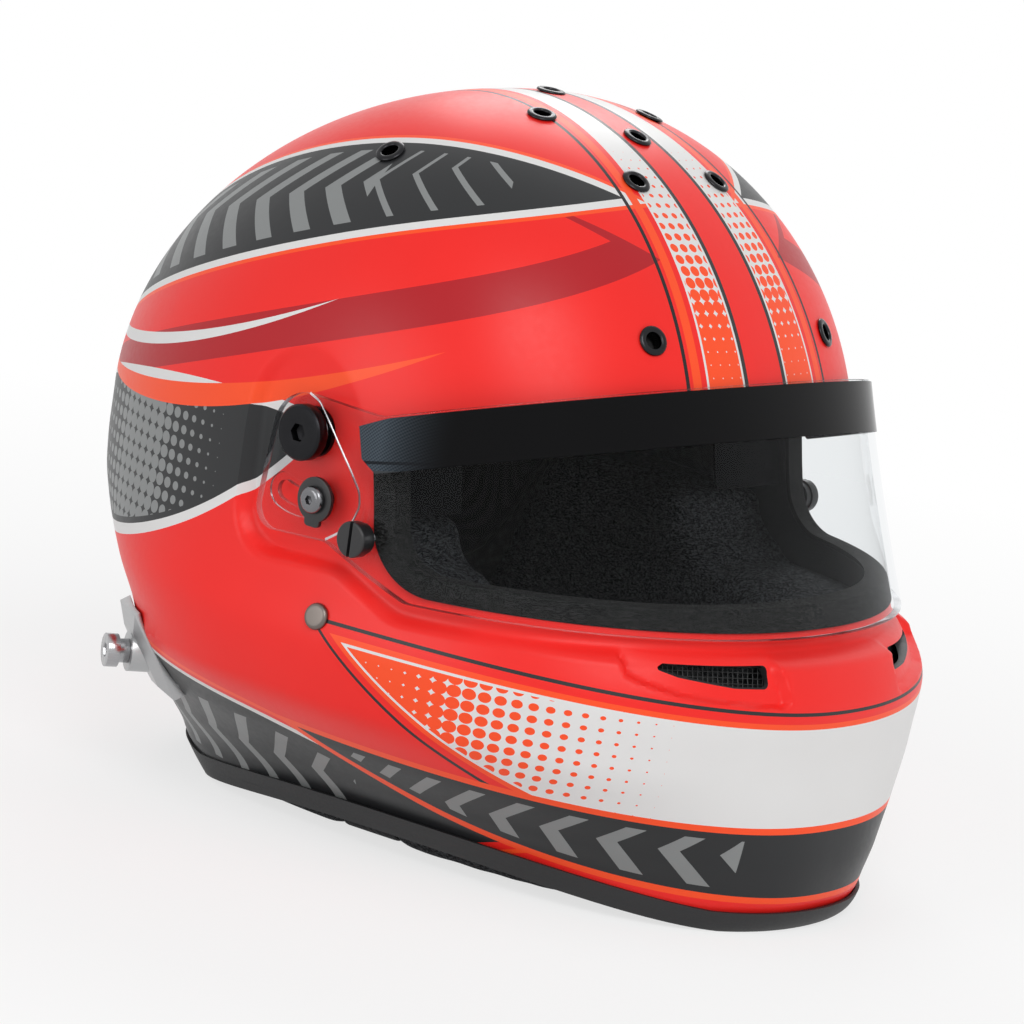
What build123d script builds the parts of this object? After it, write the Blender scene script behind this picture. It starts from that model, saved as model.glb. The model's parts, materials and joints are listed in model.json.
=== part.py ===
from build123d import *
from math import atan2, copysign, cos, degrees, hypot, pi, radians, sin
import os

os.makedirs("parts", exist_ok=True)

# Full-face auto racing helmet. Millimetres, front towards -Y, +X to the wearer's left, base rim at Z 0.

# Outer form of the shell
shell_height = 271.0
belt_half_width = 125.5
belt_front_reach = 117.1
belt_rear_reach = 167.2
belt_height_share = 0.51
crown_setback_share = 0.0718
belt_setback_share = 0.0837
belt_height = belt_height_share * shell_height
crown_setback = crown_setback_share * belt_rear_reach
belt_setback = belt_setback_share * belt_rear_reach
dome_front_power = 1.9
dome_rear_power = 1.73
dome_side_power = 2.29
plan_front_power = 2.3
plan_rear_power = 2.17
dome_angles = [14, 28, 42, 55, 67, 78]
plan_points = 20

# Stations of the form below the belt: height, front, rear and half width, as shares of the belt's sizes
skirt_height_shares = [0, 0.09, 0.19, 0.31, 0.44, 0.58, 0.7, 0.8, 0.9, 1]
skirt_front_shares = [1.361, 1.415, 1.431, 1.422, 1.41, 1.418, 1.362, 1.232, 1.08, 1]
skirt_rear_shares = [0.608, 0.73, 0.776, 0.773, 0.776, 0.861, 0.949, 0.991, 1.001, 1]
skirt_width_shares = [0.717, 0.717, 0.788, 0.921, 1.034, 1.054, 1.027, 1.009, 1.002, 1]

# Walls and clearances
shell_wall = 4.0
pocket_wall = 2.5
fit_gap = 0.4
film_gap = 0.3
turn_gap = 0.1
overrun = 60.0
probe_step = 0.05

# Visor: an upright conical sheet, flat at the ears
lens_thickness = 3.0
lens_gap = 2.0
lens_proud = 0.3
lens_half_width = belt_half_width + lens_proud
lens_power = 2.08
lens_bend_share = 0.1705
lens_low_height_share = 0.3838
lens_high_height_share = 0.6827
lens_low_reach_share = 1.304
lens_high_reach_share = 0.9607
lens_foot_share = 0.2952
lens_head_share = 0.7934
recess_inset = lens_thickness + lens_gap
film_thickness = 0.4
strip_margin = 0.8

# Side outlines: shares of the rear reach behind the origin, and of the shell height
visor_outline_shares = [
    (-1.077, 0.7723),
    (-0.227, 0.606),
    (0.057, 0.611),
    (0.093, 0.417),
    (-0.12, 0.4258),
    (-0.341, 0.3764),
    (-1.077, 0.3893),
]
visor_corner_radii = [0.0, 14.0, 15.5, 8.5, 10.0, 8.0, 0.0]
strip_outline_shares = [
    (-1.077, 0.7723),
    (-0.265, 0.6115),
    (-0.178, 0.5875),
    (-0.196, 0.547),
    (-0.235, 0.5325),
    (-1.077, 0.6937),
]
strip_corner_radii = [0.0] * 6
port_outline_shares = [
    (-1.05, 0.3948),
    (-0.2548, 0.3849),
    (-0.1884, 0.5812),
    (-1.05, 0.7223),
]
port_corner_radii = [0.0, 26.0, 10.0, 0.0]
recess_outline_shares = [
    (-1.077, 0.3764),
    (-0.32, 0.3616),
    (-0.16, 0.405),
    (0.12, 0.394),
    (0.12, 0.655),
    (-0.22, 0.655),
    (-0.31, 0.52),
    (-1.077, 0.52),
]
recess_corner_radii = [0.0, 20.0, 20.0, 14.0, 22.0, 8.0, 8.0, 0.0]

# Pivot, detent and tear-off posts, seen from the side
pivot_setback = -0.033 * belt_rear_reach
pivot_height = 0.5594 * shell_height
pivot_head_radius = 10.0
pivot_head_height = 4.6
pivot_socket = 6.0
pivot_socket_depth = 3.0
pivot_shank_radius = 3.0
pivot_sleeve_radius = 7.0
pivot_flange_radius = 9.0
pivot_barrel_radius = 5.0
insert_flange_height = 1.5
screw_reach = 3.0
detent_radius = 23.9
detent_angle = -111.6
visor_travel = 39.0
detent_slack_angle = 1.5
detent_boss_radius = 3.1
slot_gap = 0.25
detent_pocket_margin = 3.0
detent_pocket_depth = 0.8
detent_washer_radius = 8.0
detent_washer_height = 1.5
detent_tab_width = 7.0
detent_tab_drop = 8.0
detent_shank_radius = 2.0
detent_head_radius = 5.0
detent_head_height = 2.8
detent_socket = 3.0
detent_socket_depth = 1.6
detent_barrel_radius = 3.8
detent_flange_radius = 6.5
post_setback = -0.2263 * belt_rear_reach
post_height = 0.4465 * shell_height
post_radius = 6.4
post_neck_radius = 5.6
post_neck_length = 2.6
post_head_length = 4.2
post_slot_width = 1.4
post_slot_depth = 1.8
post_shank_radius = 2.3

# Eyeport gasket
gasket_flange = 5.0
gasket_thickness = 1.5
gasket_lining = 2.4
gasket_depth = 11.0

# Base trim and the arch of the base rim
trim_height = 8.0
trim_proud = 1.6
trim_web = 2.5
trim_lip = 1.6
arch_rise = 8.5
arch_front_share = -0.897
arch_middle_share = -0.19
arch_rear_share = 0.42

# Chin vents: places along the skin from the vent's middle, and above it
vent_setback = -0.892 * belt_rear_reach
vent_height = 0.3358 * shell_height
vent_length = 44.0
vent_tall = 7.6
vent_hole_shares = [
    (-0.46, 0.36), (-0.38, 0.68), (0.46, 0.8), (0.53, 0.14), (0.46, -0.2), (0.23, -0.17), (-0.27, 0.16),
]
vent_pocket_shares = [
    (-0.79, 1.1), (-0.74, 0.05), (-0.6, -0.24), (-0.26, -0.68),
    (0.64, -1.08), (0.72, -0.7), (0.66, 0.43), (0.57, 1.1),
]
vent_hole_round = 1.2
vent_pocket_round = 2.0
pocket_depth = 3.5
mesh_thickness = 0.8
mesh_margin = 2.2
mesh_pitch = 2.6
mesh_gap = 1.7
mesh_columns = 18
mesh_rows = 4
mesh_rise = 1.9
mesh_slack = 1.0

# Vent eyelets: across and behind the origin, as shares of the half width and the rear reach
brow_eyelet_shares = [(0.402, -0.553), (0.186, -0.32), (0, -0.196)]
crown_eyelet_shares = [(0.247, -0.074), (0.64, 0.082), (0, 0.063)]
eyelet_radius = 5.5
eyelet_bore = 3.0
eyelet_barrel = 4.0
eyelet_rise = 0.9
eyelet_seat = 0.4
duct_radius = 4.8

# Padding and liners
pad_gap = 2.6
eps_thickness = 28.0
crown_pad_thickness = 10.0
chin_foam_thickness = 20.0
neck_roll_thickness = 27.0
pad_floor = 1.2
face_half_width = 64.0
face_reach = 135.0
face_setback = 5.0
lining_thickness = 1.5
lining_gap = 0.6
crown_region_shares = [
    (-1.2, 0.8), (-1.2, 0.6), (-0.19, 0.56), (-0.15, 0.465), (0.25, 0.465),
    (0.42, 0.2), (1.2, 0.2), (1.2, 1.1), (-1.2, 1.1),
]
crown_pad_region_shares = [
    (-1.2, 0.8), (-1.2, 0.6), (-0.16, 0.57), (-0.1, 0.5), (0.28, 0.5),
    (0.45, 0.26), (1.2, 0.26), (1.2, 1.1), (-1.2, 1.1),
]
cheek_region_shares = [
    (-0.6, 0), (-0.64, 0.15), (-0.66, 0.37), (-0.3, 0.37), (-0.2, 0.41),
    (-0.165, 0.458), (0.24, 0.458), (0.395, 0.2), (0.395, 0),
]
cheek_corner_radii = [0.0, 6.0, 6.0, 10.0, 10.0, 6.0, 10.0, 10.0, 0.0]
chin_region_shares = [(-1.2, 0), (-1.2, 0.362), (-0.668, 0.362), (-0.648, 0.15), (-0.608, 0)]
neck_region_shares = [(0.402, 0), (0.402, 0.193), (1.2, 0.193), (1.2, 0)]

# Chin strap and its hardware
rivet_setback = -0.1453 * belt_rear_reach
rivet_height = 0.331 * shell_height
rivet_radius = 4.8
rivet_rise = 1.8
rivet_shank_radius = 2.0
rivet_clench_radius = 3.2
rivet_clench_height = 1.1
strap_width = 24.0
strap_thickness = 1.6
strap_gap = 1.0
strap_top = 12.0
washer_radius = 8.0
washer_thickness = 1.2
strap_floor = 2.4
strap_tail = 62.0
strap_standoff = 0.5
strap_ease = 3.0
strap_station_shares = [0.0339, 0.0458, 0.0683, 0.1033, 0.1402, 0.1771, 0.214, 0.2509, 0.2878, 0.3247, 0.3506]
strap_eased_stations = 3
pad_notch_rise = 6.0
loop_bore = 4.8
loop_wall = 1.4
ring_wire_radius = 1.9
ring_spacing = 4.4
ring_width = 30.0
ring_drop = 24.0
ring_bend = 7.0

# Head restraint anchors on the rear sides
tether_setback = 0.46 * belt_rear_reach
tether_height = 0.177 * shell_height
tether_foot_length = 40.0
tether_plate_rise = 4.5
tether_plate_edge = 1.6
tether_foot_shares = [(0.28, 0.5), (0.34, -0.4), (-0.14, -0.44), (-0.5, 0.02), (-0.36, 0.48)]
tether_top_share = 0.62
tether_sink = 12.0
tether_boss_radius = 7.5
tether_boss_length = 5.2
tether_post_radius = 6.25
tether_head_length = 4.5
tether_neck_radius = 4.5
tether_neck_length = 4.0
tether_shank_radius = 3.0
tether_barrel_radius = 5.0
tether_flange_radius = 8.0
tether_flange_depth = 12.0
tether_socket = 5.0
tether_socket_depth = 2.5


def side_points(shares):
    """Side outline in millimetres from its shares."""
    return [(setback * belt_rear_reach, height * shell_height) for setback, height in shares]


def dome_share(rise, power):
    """How much of the belt's size is left at this share of the dome's rise."""
    return (1 - rise**power) ** (1 / power)


def between(shares, height):
    """Straight interpolation in a table of the form below the belt."""
    place = height / belt_height
    for index in range(len(skirt_height_shares) - 1):
        low = skirt_height_shares[index]
        high = skirt_height_shares[index + 1]
        if place <= high:
            part = (place - low) / (high - low)
            return shares[index] + part * (shares[index + 1] - shares[index])
    return shares[-1]


def reaches(height, inset=0.0):
    """Front reach, rear reach, half width and middle of the form at a height."""
    front = belt_front_reach - inset
    rear = belt_rear_reach - inset
    half = belt_half_width - inset
    if height < belt_height:
        front = between(skirt_front_shares, height) * belt_front_reach - inset
        rear = between(skirt_rear_shares, height) * belt_rear_reach - inset
        half = between(skirt_width_shares, height) * belt_half_width - inset
        return front, rear, half, belt_setback
    rise = (height - belt_height) / (shell_height - inset - belt_height)
    front = (front + crown_setback) * dome_share(rise, dome_front_power) - crown_setback
    rear = crown_setback + (rear - crown_setback) * dome_share(rise, dome_rear_power)
    middle = crown_setback + (belt_setback - crown_setback) * dome_share(rise, 2)
    return front, rear, half * dome_share(rise, dome_side_power), middle


def plan_curve(front, rear, half, middle):
    """Points of one level section of the form."""
    points = []
    for index in range(plan_points):
        angle = pi / 2 + 2 * pi * index / plan_points
        across, along = cos(angle), sin(angle)
        power = plan_rear_power if along > 0 else plan_front_power
        reach = rear - middle if along > 0 else front + middle
        x = half * copysign(abs(across) ** (2 / power), across)
        y = middle + reach * copysign(abs(along) ** (2 / power), along)
        points.append((x, y))
    return points


def form(inset):
    """The helmet's outer form, drawn in by this much all round."""
    levels = [share * belt_height for share in skirt_height_shares[:-1]]
    levels += [belt_height]
    levels += [belt_height + (shell_height - inset - belt_height) * sin(radians(angle)) for angle in dome_angles]
    faces = []
    with BuildPart() as solid:
        for level in levels:
            with BuildSketch(Plane.XY.offset(level)) as section:
                with BuildLine():
                    Spline(*plan_curve(*reaches(level, inset)), periodic=True)
                make_face()
            faces.append(section.sketch.faces()[0])
        loft([*faces, Vertex(0, crown_setback, shell_height - inset)])
    return solid.part


def lens_reach(height):
    """How far forward the visor's outer face stands at a height."""
    low_height = lens_low_height_share * shell_height
    high_height = lens_high_height_share * shell_height
    low_reach = lens_low_reach_share * belt_front_reach
    high_reach = lens_high_reach_share * belt_front_reach
    part = (height - low_height) / (high_height - low_height)
    return low_reach + part * (high_reach - low_reach)


def lens_points(level, inset):
    """Points of the visor's outer face at a level, drawn in by this much."""
    bend = -lens_bend_share * belt_rear_reach
    reach = lens_reach(level) - inset + bend
    points = []
    for index in range(plan_points + 1):
        angle = pi * index / plan_points
        across = copysign(abs(cos(angle)) ** (2 / lens_power), cos(angle))
        along = abs(sin(angle)) ** (2 / lens_power)
        points.append(((lens_half_width - inset) * across, bend - reach * along))
    return points


def lens_body(inset):
    """Solid behind the visor's outer face, drawn in by this much."""
    half = lens_half_width - inset
    faces = []
    with BuildPart() as solid:
        for share in (lens_foot_share, lens_head_share):
            level = share * shell_height
            with BuildSketch(Plane.XY.offset(level)) as section:
                with BuildLine():
                    points = lens_points(level, inset)
                    Spline(*points, tangents=[(0, -1), (0, 1)], tangent_scalars=[1, 1])
                    Polyline(points[-1], (-half, overrun), (half, overrun), points[0])
                make_face()
            faces.append(section.sketch.faces()[0])
        loft(faces, ruled=True)
    return solid.part


def side_prism(shares, radii, grow=0.0):
    """Solid right across the helmet with this side outline, its corners rounded."""
    with BuildPart() as solid:
        with BuildSketch(Plane.YZ):
            with BuildLine():
                FilletPolyline(*side_points(shares), radius=radii, close=True)
            make_face()
            if grow:
                offset(amount=grow)
        extrude(amount=belt_half_width + overrun, both=True)
    return solid.part


def under_rim(lift):
    """Everything below the base rim's arch, raised by this much."""
    far = belt_rear_reach + overrun
    front = (arch_front_share * belt_rear_reach, lift)
    middle = (arch_middle_share * belt_rear_reach, lift + arch_rise)
    rear = (arch_rear_share * belt_rear_reach, lift)
    with BuildPart() as solid:
        with BuildSketch(Plane.YZ):
            with BuildLine():
                Polyline((-far, lift), front)
                ThreePointArc(front, middle, rear)
                Polyline(rear, (far, lift), (far, -overrun), (-far, -overrun), (-far, lift))
            make_face()
        extrude(amount=belt_half_width + overrun, both=True)
    return solid.part


def fullness(x, y, height):
    """1 on the form, less inside it."""
    front, rear, half, middle = reaches(height)
    power = plan_rear_power if y > middle else plan_front_power
    reach = rear - middle if y > middle else front + middle
    return abs(x / half) ** power + abs((y - middle) / reach) ** power


def skin_plane(x, y, height):
    """Plane on the form with its normal outwards and its X axis level."""
    step = probe_step
    slope = Vector(
        fullness(x + step, y, height) - fullness(x - step, y, height),
        fullness(x, y + step, height) - fullness(x, y - step, height),
        fullness(x, y, height + step) - fullness(x, y, height - step),
    ).normalized()
    level = Vector(0, 0, 1).cross(slope) if hypot(slope.X, slope.Y) > step * step / shell_height else Vector(1, 0, 0)
    return Plane(origin=(x, y, height), x_dir=level, z_dir=slope)


def side_skin(y, height):
    """Plane on the wearer's left side of the form."""
    front, rear, half, middle = reaches(height)
    power = plan_rear_power if y > middle else plan_front_power
    reach = rear - middle if y > middle else front + middle
    return skin_plane(half * (1 - abs((y - middle) / reach) ** power) ** (1 / power), y, height)


def dome_skin(x, y):
    """Plane on the dome above this place."""
    low, high = belt_height, shell_height
    for _ in range(60):
        level = (low + high) / 2
        if fullness(x, y, min(level, shell_height - probe_step / 2)) < 1:
            low = level
        else:
            high = level
    return skin_plane(x, y, min(low, shell_height - 2 * probe_step))


def turned(plane, steps):
    """Round piece along the plane's normal, from steps of start, end and radius."""
    with BuildPart() as solid:
        for start, end, radius in steps:
            with BuildSketch(plane.offset(start)):
                Circle(radius)
            extrude(amount=end - start)
    return solid.part


def hex_pocket(plane, width, start, depth):
    """Hexagon socket cut down from this height."""
    with BuildPart() as solid:
        with BuildSketch(plane.offset(start - depth)):
            RegularPolygon(radius=width / 2, side_count=6, major_radius=False)
        extrude(amount=depth + overrun)
    return solid.part


def plane_prism(plane, points, radius, low, high):
    """Outline on a plane, rounded, from one height to another."""
    with BuildPart() as solid:
        with BuildSketch(plane.offset(low)):
            with BuildLine():
                FilletPolyline(*points, radius=radius, close=True)
            make_face()
        extrude(amount=high - low)
    return solid.part


# Planes that the hardware of the wearer's left side stands on
def side_plane(y, height):
    """Upright plane at the middle of the helmet, looking to the wearer's left."""
    return Plane(origin=(0, y, height), x_dir=(0, 1, 0), z_dir=(1, 0, 0))


def levelled(skin):
    """The same place with its normal level, its X axis level and rearward and its Y axis up."""
    turn = atan2(skin.z_dir.Y, skin.z_dir.X)
    return Plane(origin=skin.origin, x_dir=(-sin(turn), cos(turn), 0), z_dir=(cos(turn), sin(turn), 0))


pivot_plane = side_plane(pivot_setback, pivot_height)
detent_setback = pivot_setback + detent_radius * cos(radians(detent_angle))
detent_height = pivot_height + detent_radius * sin(radians(detent_angle))
detent_plane = side_plane(detent_setback, detent_height)
post_plane = side_plane(post_setback, post_height)
rivet_plane = side_skin(rivet_setback, rivet_height)
tether_skin = side_skin(tether_setback, tether_height)
tether_plane = levelled(tether_skin)
vent_half = reaches(vent_height)[2]
vent_plane = levelled(side_skin(vent_setback, vent_height))

lens_outer = lens_half_width
lens_inner = lens_outer - lens_thickness
floor_outer = lens_outer - recess_inset
floor_inner = floor_outer - shell_wall

# Shared solids
outer_form = form(0)
inner_form = form(shell_wall)
pad_form = form(shell_wall + pad_gap)
liner_form = form(shell_wall + fit_gap)
skin_form = form(-turn_gap)
port_prism = side_prism(port_outline_shares, port_corner_radii, -gasket_flange)
recess_prism = side_prism(recess_outline_shares, recess_corner_radii)
recess_back_prism = side_prism(recess_outline_shares, recess_corner_radii, shell_wall)


def vent_points(shares, grow=0.0):
    """Chin vent outline on its plane, X towards the chin's middle."""
    points = []
    for along, up in shares:
        x = along * vent_length + copysign(grow, along)
        y = up * vent_tall + copysign(grow, up)
        points.append((-x, y))
    return points


vent_pocket = plane_prism(vent_plane, vent_points(vent_pocket_shares), vent_pocket_round, -overrun / 2, overrun / 2)
vent_pocket_back = plane_prism(
    vent_plane, vent_points(vent_pocket_shares, pocket_wall), vent_pocket_round, -overrun / 2, overrun / 2
)
vent_hole = plane_prism(vent_plane, vent_points(vent_hole_shares), vent_hole_round, -overrun / 2, overrun / 2)

with BuildPart() as visor_recess:
    add(recess_prism)
    add(lens_body(recess_inset), mode=Mode.SUBTRACT)

with BuildPart() as behind_recess:
    add(recess_back_prism)
    add(lens_body(recess_inset + shell_wall), mode=Mode.SUBTRACT)

with BuildPart() as padding_recess:
    add(recess_back_prism)
    add(lens_body(recess_inset + shell_wall + fit_gap), mode=Mode.SUBTRACT)

with BuildPart() as pocket_cut:
    add(vent_pocket)
    add(form(pocket_depth), mode=Mode.SUBTRACT)

with BuildPart() as pocket_back:
    add(vent_pocket_back)
    add(form(pocket_depth + pocket_wall), mode=Mode.SUBTRACT)

eyelet_planes = []
for eyelet_shares in (brow_eyelet_shares, crown_eyelet_shares):
    group = []
    for across, behind in eyelet_shares:
        for side in (1, -1) if across else (1,):
            group.append(dome_skin(side * across * belt_half_width, behind * belt_rear_reach))
    eyelet_planes.append(group)
vent_holes = [
    turned(plane, [(-2 * shell_wall, shell_wall, eyelet_barrel + turn_gap)]) for group in eyelet_planes for plane in group
]
vent_ducts = [
    turned(plane, [(-overrun, 0, duct_radius)]) for group in eyelet_planes for plane in group
]

# Outer shell with its eyeport, visor recess, chin vents, eyelet holes and hardware holes
rim_seat = trim_web + fit_gap
with BuildPart() as inside:
    add(inner_form)
    add(behind_recess.part, mode=Mode.SUBTRACT)
    add(pocket_back.part, mode=Mode.SUBTRACT)
    add(mirror(pocket_back.part, about=Plane.YZ), mode=Mode.SUBTRACT)

side_holes = [
    turned(pivot_plane, [(floor_inner - overrun / 2, belt_half_width + overrun, pivot_barrel_radius + turn_gap)]),
    turned(detent_plane, [(floor_inner - overrun / 2, belt_half_width + overrun, detent_barrel_radius + turn_gap)]),
    turned(rivet_plane, [(-overrun / 4, overrun / 4, rivet_shank_radius + turn_gap)]),
    turned(tether_plane, [(-overrun / 4, overrun / 4, tether_barrel_radius + turn_gap)]),
]

with BuildPart() as shell:
    add(outer_form)
    add(visor_recess.part, mode=Mode.SUBTRACT)
    add(port_prism, mode=Mode.SUBTRACT)
    add(pocket_cut.part, mode=Mode.SUBTRACT)
    add(mirror(pocket_cut.part, about=Plane.YZ), mode=Mode.SUBTRACT)
    add(inside.part, mode=Mode.SUBTRACT)
    add(under_rim(rim_seat), mode=Mode.SUBTRACT)
    add(vent_hole, mode=Mode.SUBTRACT)
    add(mirror(vent_hole, about=Plane.YZ), mode=Mode.SUBTRACT)
    add(vent_holes, mode=Mode.SUBTRACT)
    for hole in side_holes:
        add(hole, mode=Mode.SUBTRACT)
        add(mirror(hole, about=Plane.YZ), mode=Mode.SUBTRACT)
shell.part.label = "shell"
export_step(shell.part, "parts/shell.step")

# Impact foam liner, with a duct behind each eyelet and room for the threaded inserts
insert_room_foot = floor_inner - 2 * insert_flange_height - screw_reach
hardware_rooms = [
    turned(pivot_plane, [(insert_room_foot, lens_outer, pivot_flange_radius + fit_gap)]),
    turned(detent_plane, [(insert_room_foot, lens_outer, detent_flange_radius + fit_gap)]),
    turned(tether_plane, [(-tether_flange_depth - screw_reach, overrun, tether_flange_radius + fit_gap)]),
    turned(rivet_plane, [
        (-shell_wall - screw_reach - 2 * strap_thickness, overrun, washer_radius + fit_gap),
    ]),
]
eps_inset = shell_wall + eps_thickness
pad_inset = eps_inset + crown_pad_thickness


def across_region(shares):
    """Solid right across the helmet over this side outline."""
    with BuildPart() as solid:
        with BuildSketch(Plane.YZ):
            with BuildLine():
                Polyline(*side_points(shares), close=True)
            make_face()
        extrude(amount=belt_half_width + overrun, both=True)
    return solid.part


with BuildPart() as eps_liner:
    add(liner_form)
    add(across_region(crown_region_shares), mode=Mode.INTERSECT)
    add(form(eps_inset), mode=Mode.SUBTRACT)
    add(side_prism(port_outline_shares, port_corner_radii, lining_gap + lining_thickness + fit_gap), mode=Mode.SUBTRACT)
    add(padding_recess.part, mode=Mode.SUBTRACT)
    add(vent_ducts, mode=Mode.SUBTRACT)
    for hollow in hardware_rooms[:3]:
        add(hollow, mode=Mode.SUBTRACT)
        add(mirror(hollow, about=Plane.YZ), mode=Mode.SUBTRACT)
eps_liner.part.label = "eps_liner"
export_step(eps_liner.part, "parts/eps_liner.step")

# Padded fabric liner inside the foam
with BuildPart() as crown_liner:
    add(form(eps_inset + fit_gap))
    add(across_region(crown_pad_region_shares), mode=Mode.INTERSECT)
    add(form(pad_inset), mode=Mode.SUBTRACT)
    add(side_prism(port_outline_shares, port_corner_radii, lining_gap + lining_thickness + fit_gap), mode=Mode.SUBTRACT)
crown_liner.part.label = "crown_liner"
export_step(crown_liner.part, "parts/crown_liner.step")

# Fabric edge that covers the foam round the top of the eyeport
lining_foot = crown_region_shares[3][1] * shell_height + fit_gap
with BuildPart() as port_lining:
    add(side_prism(port_outline_shares, port_corner_radii, lining_gap + lining_thickness))
    add(side_prism(port_outline_shares, port_corner_radii, lining_gap), mode=Mode.SUBTRACT)
    with BuildSketch(Plane.XY.offset(lining_foot)):
        Rectangle(4 * belt_half_width, 4 * belt_half_width)
    extrude(amount=shell_height, mode=Mode.INTERSECT)
    add(liner_form, mode=Mode.INTERSECT)
    add(form(pad_inset), mode=Mode.SUBTRACT)
port_lining.part.label = "port_lining"
export_step(port_lining.part, "parts/port_lining.step")

# Cheek pads, hollowed for the face, with a notch under them where the strap comes round
with BuildPart() as face_room:
    with BuildSketch():
        with Locations((0, face_setback)):
            Ellipse(face_half_width, face_reach)
    extrude(amount=shell_height, both=True)
strap_plane = Plane(
    origin=(rivet_plane.origin.X, rivet_setback, 0),
    x_dir=-levelled(rivet_plane).z_dir,
    z_dir=levelled(rivet_plane).x_dir,
)
strap_inset = shell_wall + strap_gap + strap_thickness / 2
strap_points = [(rivet_plane.origin.X - side_skin(rivet_setback, height).origin.X, height) for height in [
    *[share * shell_height for share in strap_station_shares], rivet_height + strap_top
]]
strap_points = [
    (depth + strap_inset + (strap_ease if index < strap_eased_stations else 0), height)
    for index, (depth, height) in enumerate(strap_points)
]
pad_face = face_half_width * (1 - ((rivet_setback - strap_width / 2 - face_setback) / face_reach) ** 2) ** 0.5
tail_depth = rivet_plane.origin.X - pad_face + strap_standoff + strap_width * abs(strap_plane.x_dir.Y)
strap_foot = strap_floor + strap_thickness / 2
strap_corner = (strap_points[0][0] + strap_thickness, strap_foot)
strap_path = [(tail_depth, strap_tail), (tail_depth, strap_foot), strap_corner, *strap_points]


def ribbon(points, thickness, width):
    """Flat band of this thickness along points of the strap's plane."""
    sides = []
    for index, (x, y) in enumerate(points):
        near = points[max(index - 1, 0)]
        far = points[min(index + 1, len(points) - 1)]
        run = hypot(far[0] - near[0], far[1] - near[1])
        normal = ((near[1] - far[1]) / run, (far[0] - near[0]) / run)
        back = hypot(x - near[0], y - near[1]) or run
        lean = ((x - near[0]) * (far[0] - near[0]) + (y - near[1]) * (far[1] - near[1])) / (back * run)
        reach = thickness / 2 / (lean if near != (x, y) else 1)
        sides.append(((x + normal[0] * reach, y + normal[1] * reach), (x - normal[0] * reach, y - normal[1] * reach)))
    with BuildPart() as solid:
        with BuildSketch(strap_plane):
            with BuildLine():
                Polyline(*[side[0] for side in sides], *[side[1] for side in reversed(sides)], close=True)
            make_face()
        extrude(amount=width / 2, both=True)
    return solid.part


with BuildPart() as cheek_pad_left:
    add(side_prism(cheek_region_shares, cheek_corner_radii))
    with BuildSketch(Plane.XY.offset(pad_floor)):
        with Locations((belt_half_width, 0)):
            Rectangle(2 * belt_half_width - fit_gap, 4 * belt_rear_reach)
    extrude(amount=shell_height, mode=Mode.INTERSECT)
    add(pad_form, mode=Mode.INTERSECT)
    add(face_room.part, mode=Mode.SUBTRACT)
    add(side_prism(port_outline_shares, port_corner_radii, lining_gap), mode=Mode.SUBTRACT)
    add(padding_recess.part, mode=Mode.SUBTRACT)
    with BuildSketch(strap_plane):
        Rectangle(2 * belt_half_width, 2 * pad_notch_rise)
    extrude(amount=strap_width / 2 + fit_gap, both=True, mode=Mode.SUBTRACT)
    add(ribbon(strap_path[2:], strap_thickness + 2 * fit_gap, strap_width + 2 * fit_gap), mode=Mode.SUBTRACT)
    for hollow in hardware_rooms:
        add(hollow, mode=Mode.SUBTRACT)
cheek_pad_left.part.label = "cheek_pad_left"
export_step(cheek_pad_left.part, "parts/cheek_pad_left.step")

with BuildPart() as cheek_pad_right:
    add(mirror(cheek_pad_left.part, about=Plane.YZ))
cheek_pad_right.part.label = "cheek_pad_right"
export_step(cheek_pad_right.part, "parts/cheek_pad_right.step")

# Chin bar foam with an air duct behind each chin vent
vent_duct = plane_prism(vent_plane, vent_points(vent_hole_shares, mesh_margin), vent_hole_round, -overrun, 0)
mesh_skin = side_skin(vent_setback, vent_height + mesh_rise)
mesh_plane = Plane(origin=mesh_skin.origin, x_dir=levelled(mesh_skin).x_dir, z_dir=mesh_skin.z_dir)
mesh_depth = pocket_depth + pocket_wall + mesh_slack + vent_length**2 / (6 * vent_half)
mesh_span = (mesh_columns + 1) * mesh_pitch
mesh_tall = (mesh_rows + 1) * mesh_pitch
with BuildPart() as mesh_room:
    with BuildSketch(mesh_plane.offset(-mesh_depth - mesh_thickness - turn_gap)):
        Rectangle(mesh_span + 2 * fit_gap, mesh_tall + 2 * fit_gap)
    extrude(amount=overrun)
with BuildPart() as chin_bar_foam:
    add(pad_form)
    add(across_region(chin_region_shares), mode=Mode.INTERSECT)
    with BuildSketch(Plane.XY.offset(pad_floor)):
        Rectangle(4 * belt_half_width, 4 * belt_rear_reach)
    extrude(amount=shell_height, mode=Mode.INTERSECT)
    add(form(shell_wall + pad_gap + chin_foam_thickness), mode=Mode.SUBTRACT)
    add(side_prism(port_outline_shares, port_corner_radii, lining_gap), mode=Mode.SUBTRACT)
    add(padding_recess.part, mode=Mode.SUBTRACT)
    for room in (vent_duct, mesh_room.part):
        add(room, mode=Mode.SUBTRACT)
        add(mirror(room, about=Plane.YZ), mode=Mode.SUBTRACT)
chin_bar_foam.part.label = "chin_bar_foam"
export_step(chin_bar_foam.part, "parts/chin_bar_foam.step")

# Padded roll at the nape
with BuildPart() as neck_roll:
    add(pad_form)
    add(across_region(neck_region_shares), mode=Mode.INTERSECT)
    with BuildSketch(Plane.XY.offset(pad_floor)):
        Rectangle(4 * belt_half_width, 4 * belt_rear_reach)
    extrude(amount=shell_height, mode=Mode.INTERSECT)
    add(form(shell_wall + pad_gap + neck_roll_thickness), mode=Mode.SUBTRACT)
    add(hardware_rooms[2], mode=Mode.SUBTRACT)
    add(mirror(hardware_rooms[2], about=Plane.YZ), mode=Mode.SUBTRACT)
neck_roll.part.label = "neck_roll"
export_step(neck_roll.part, "parts/neck_roll.step")

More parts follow.
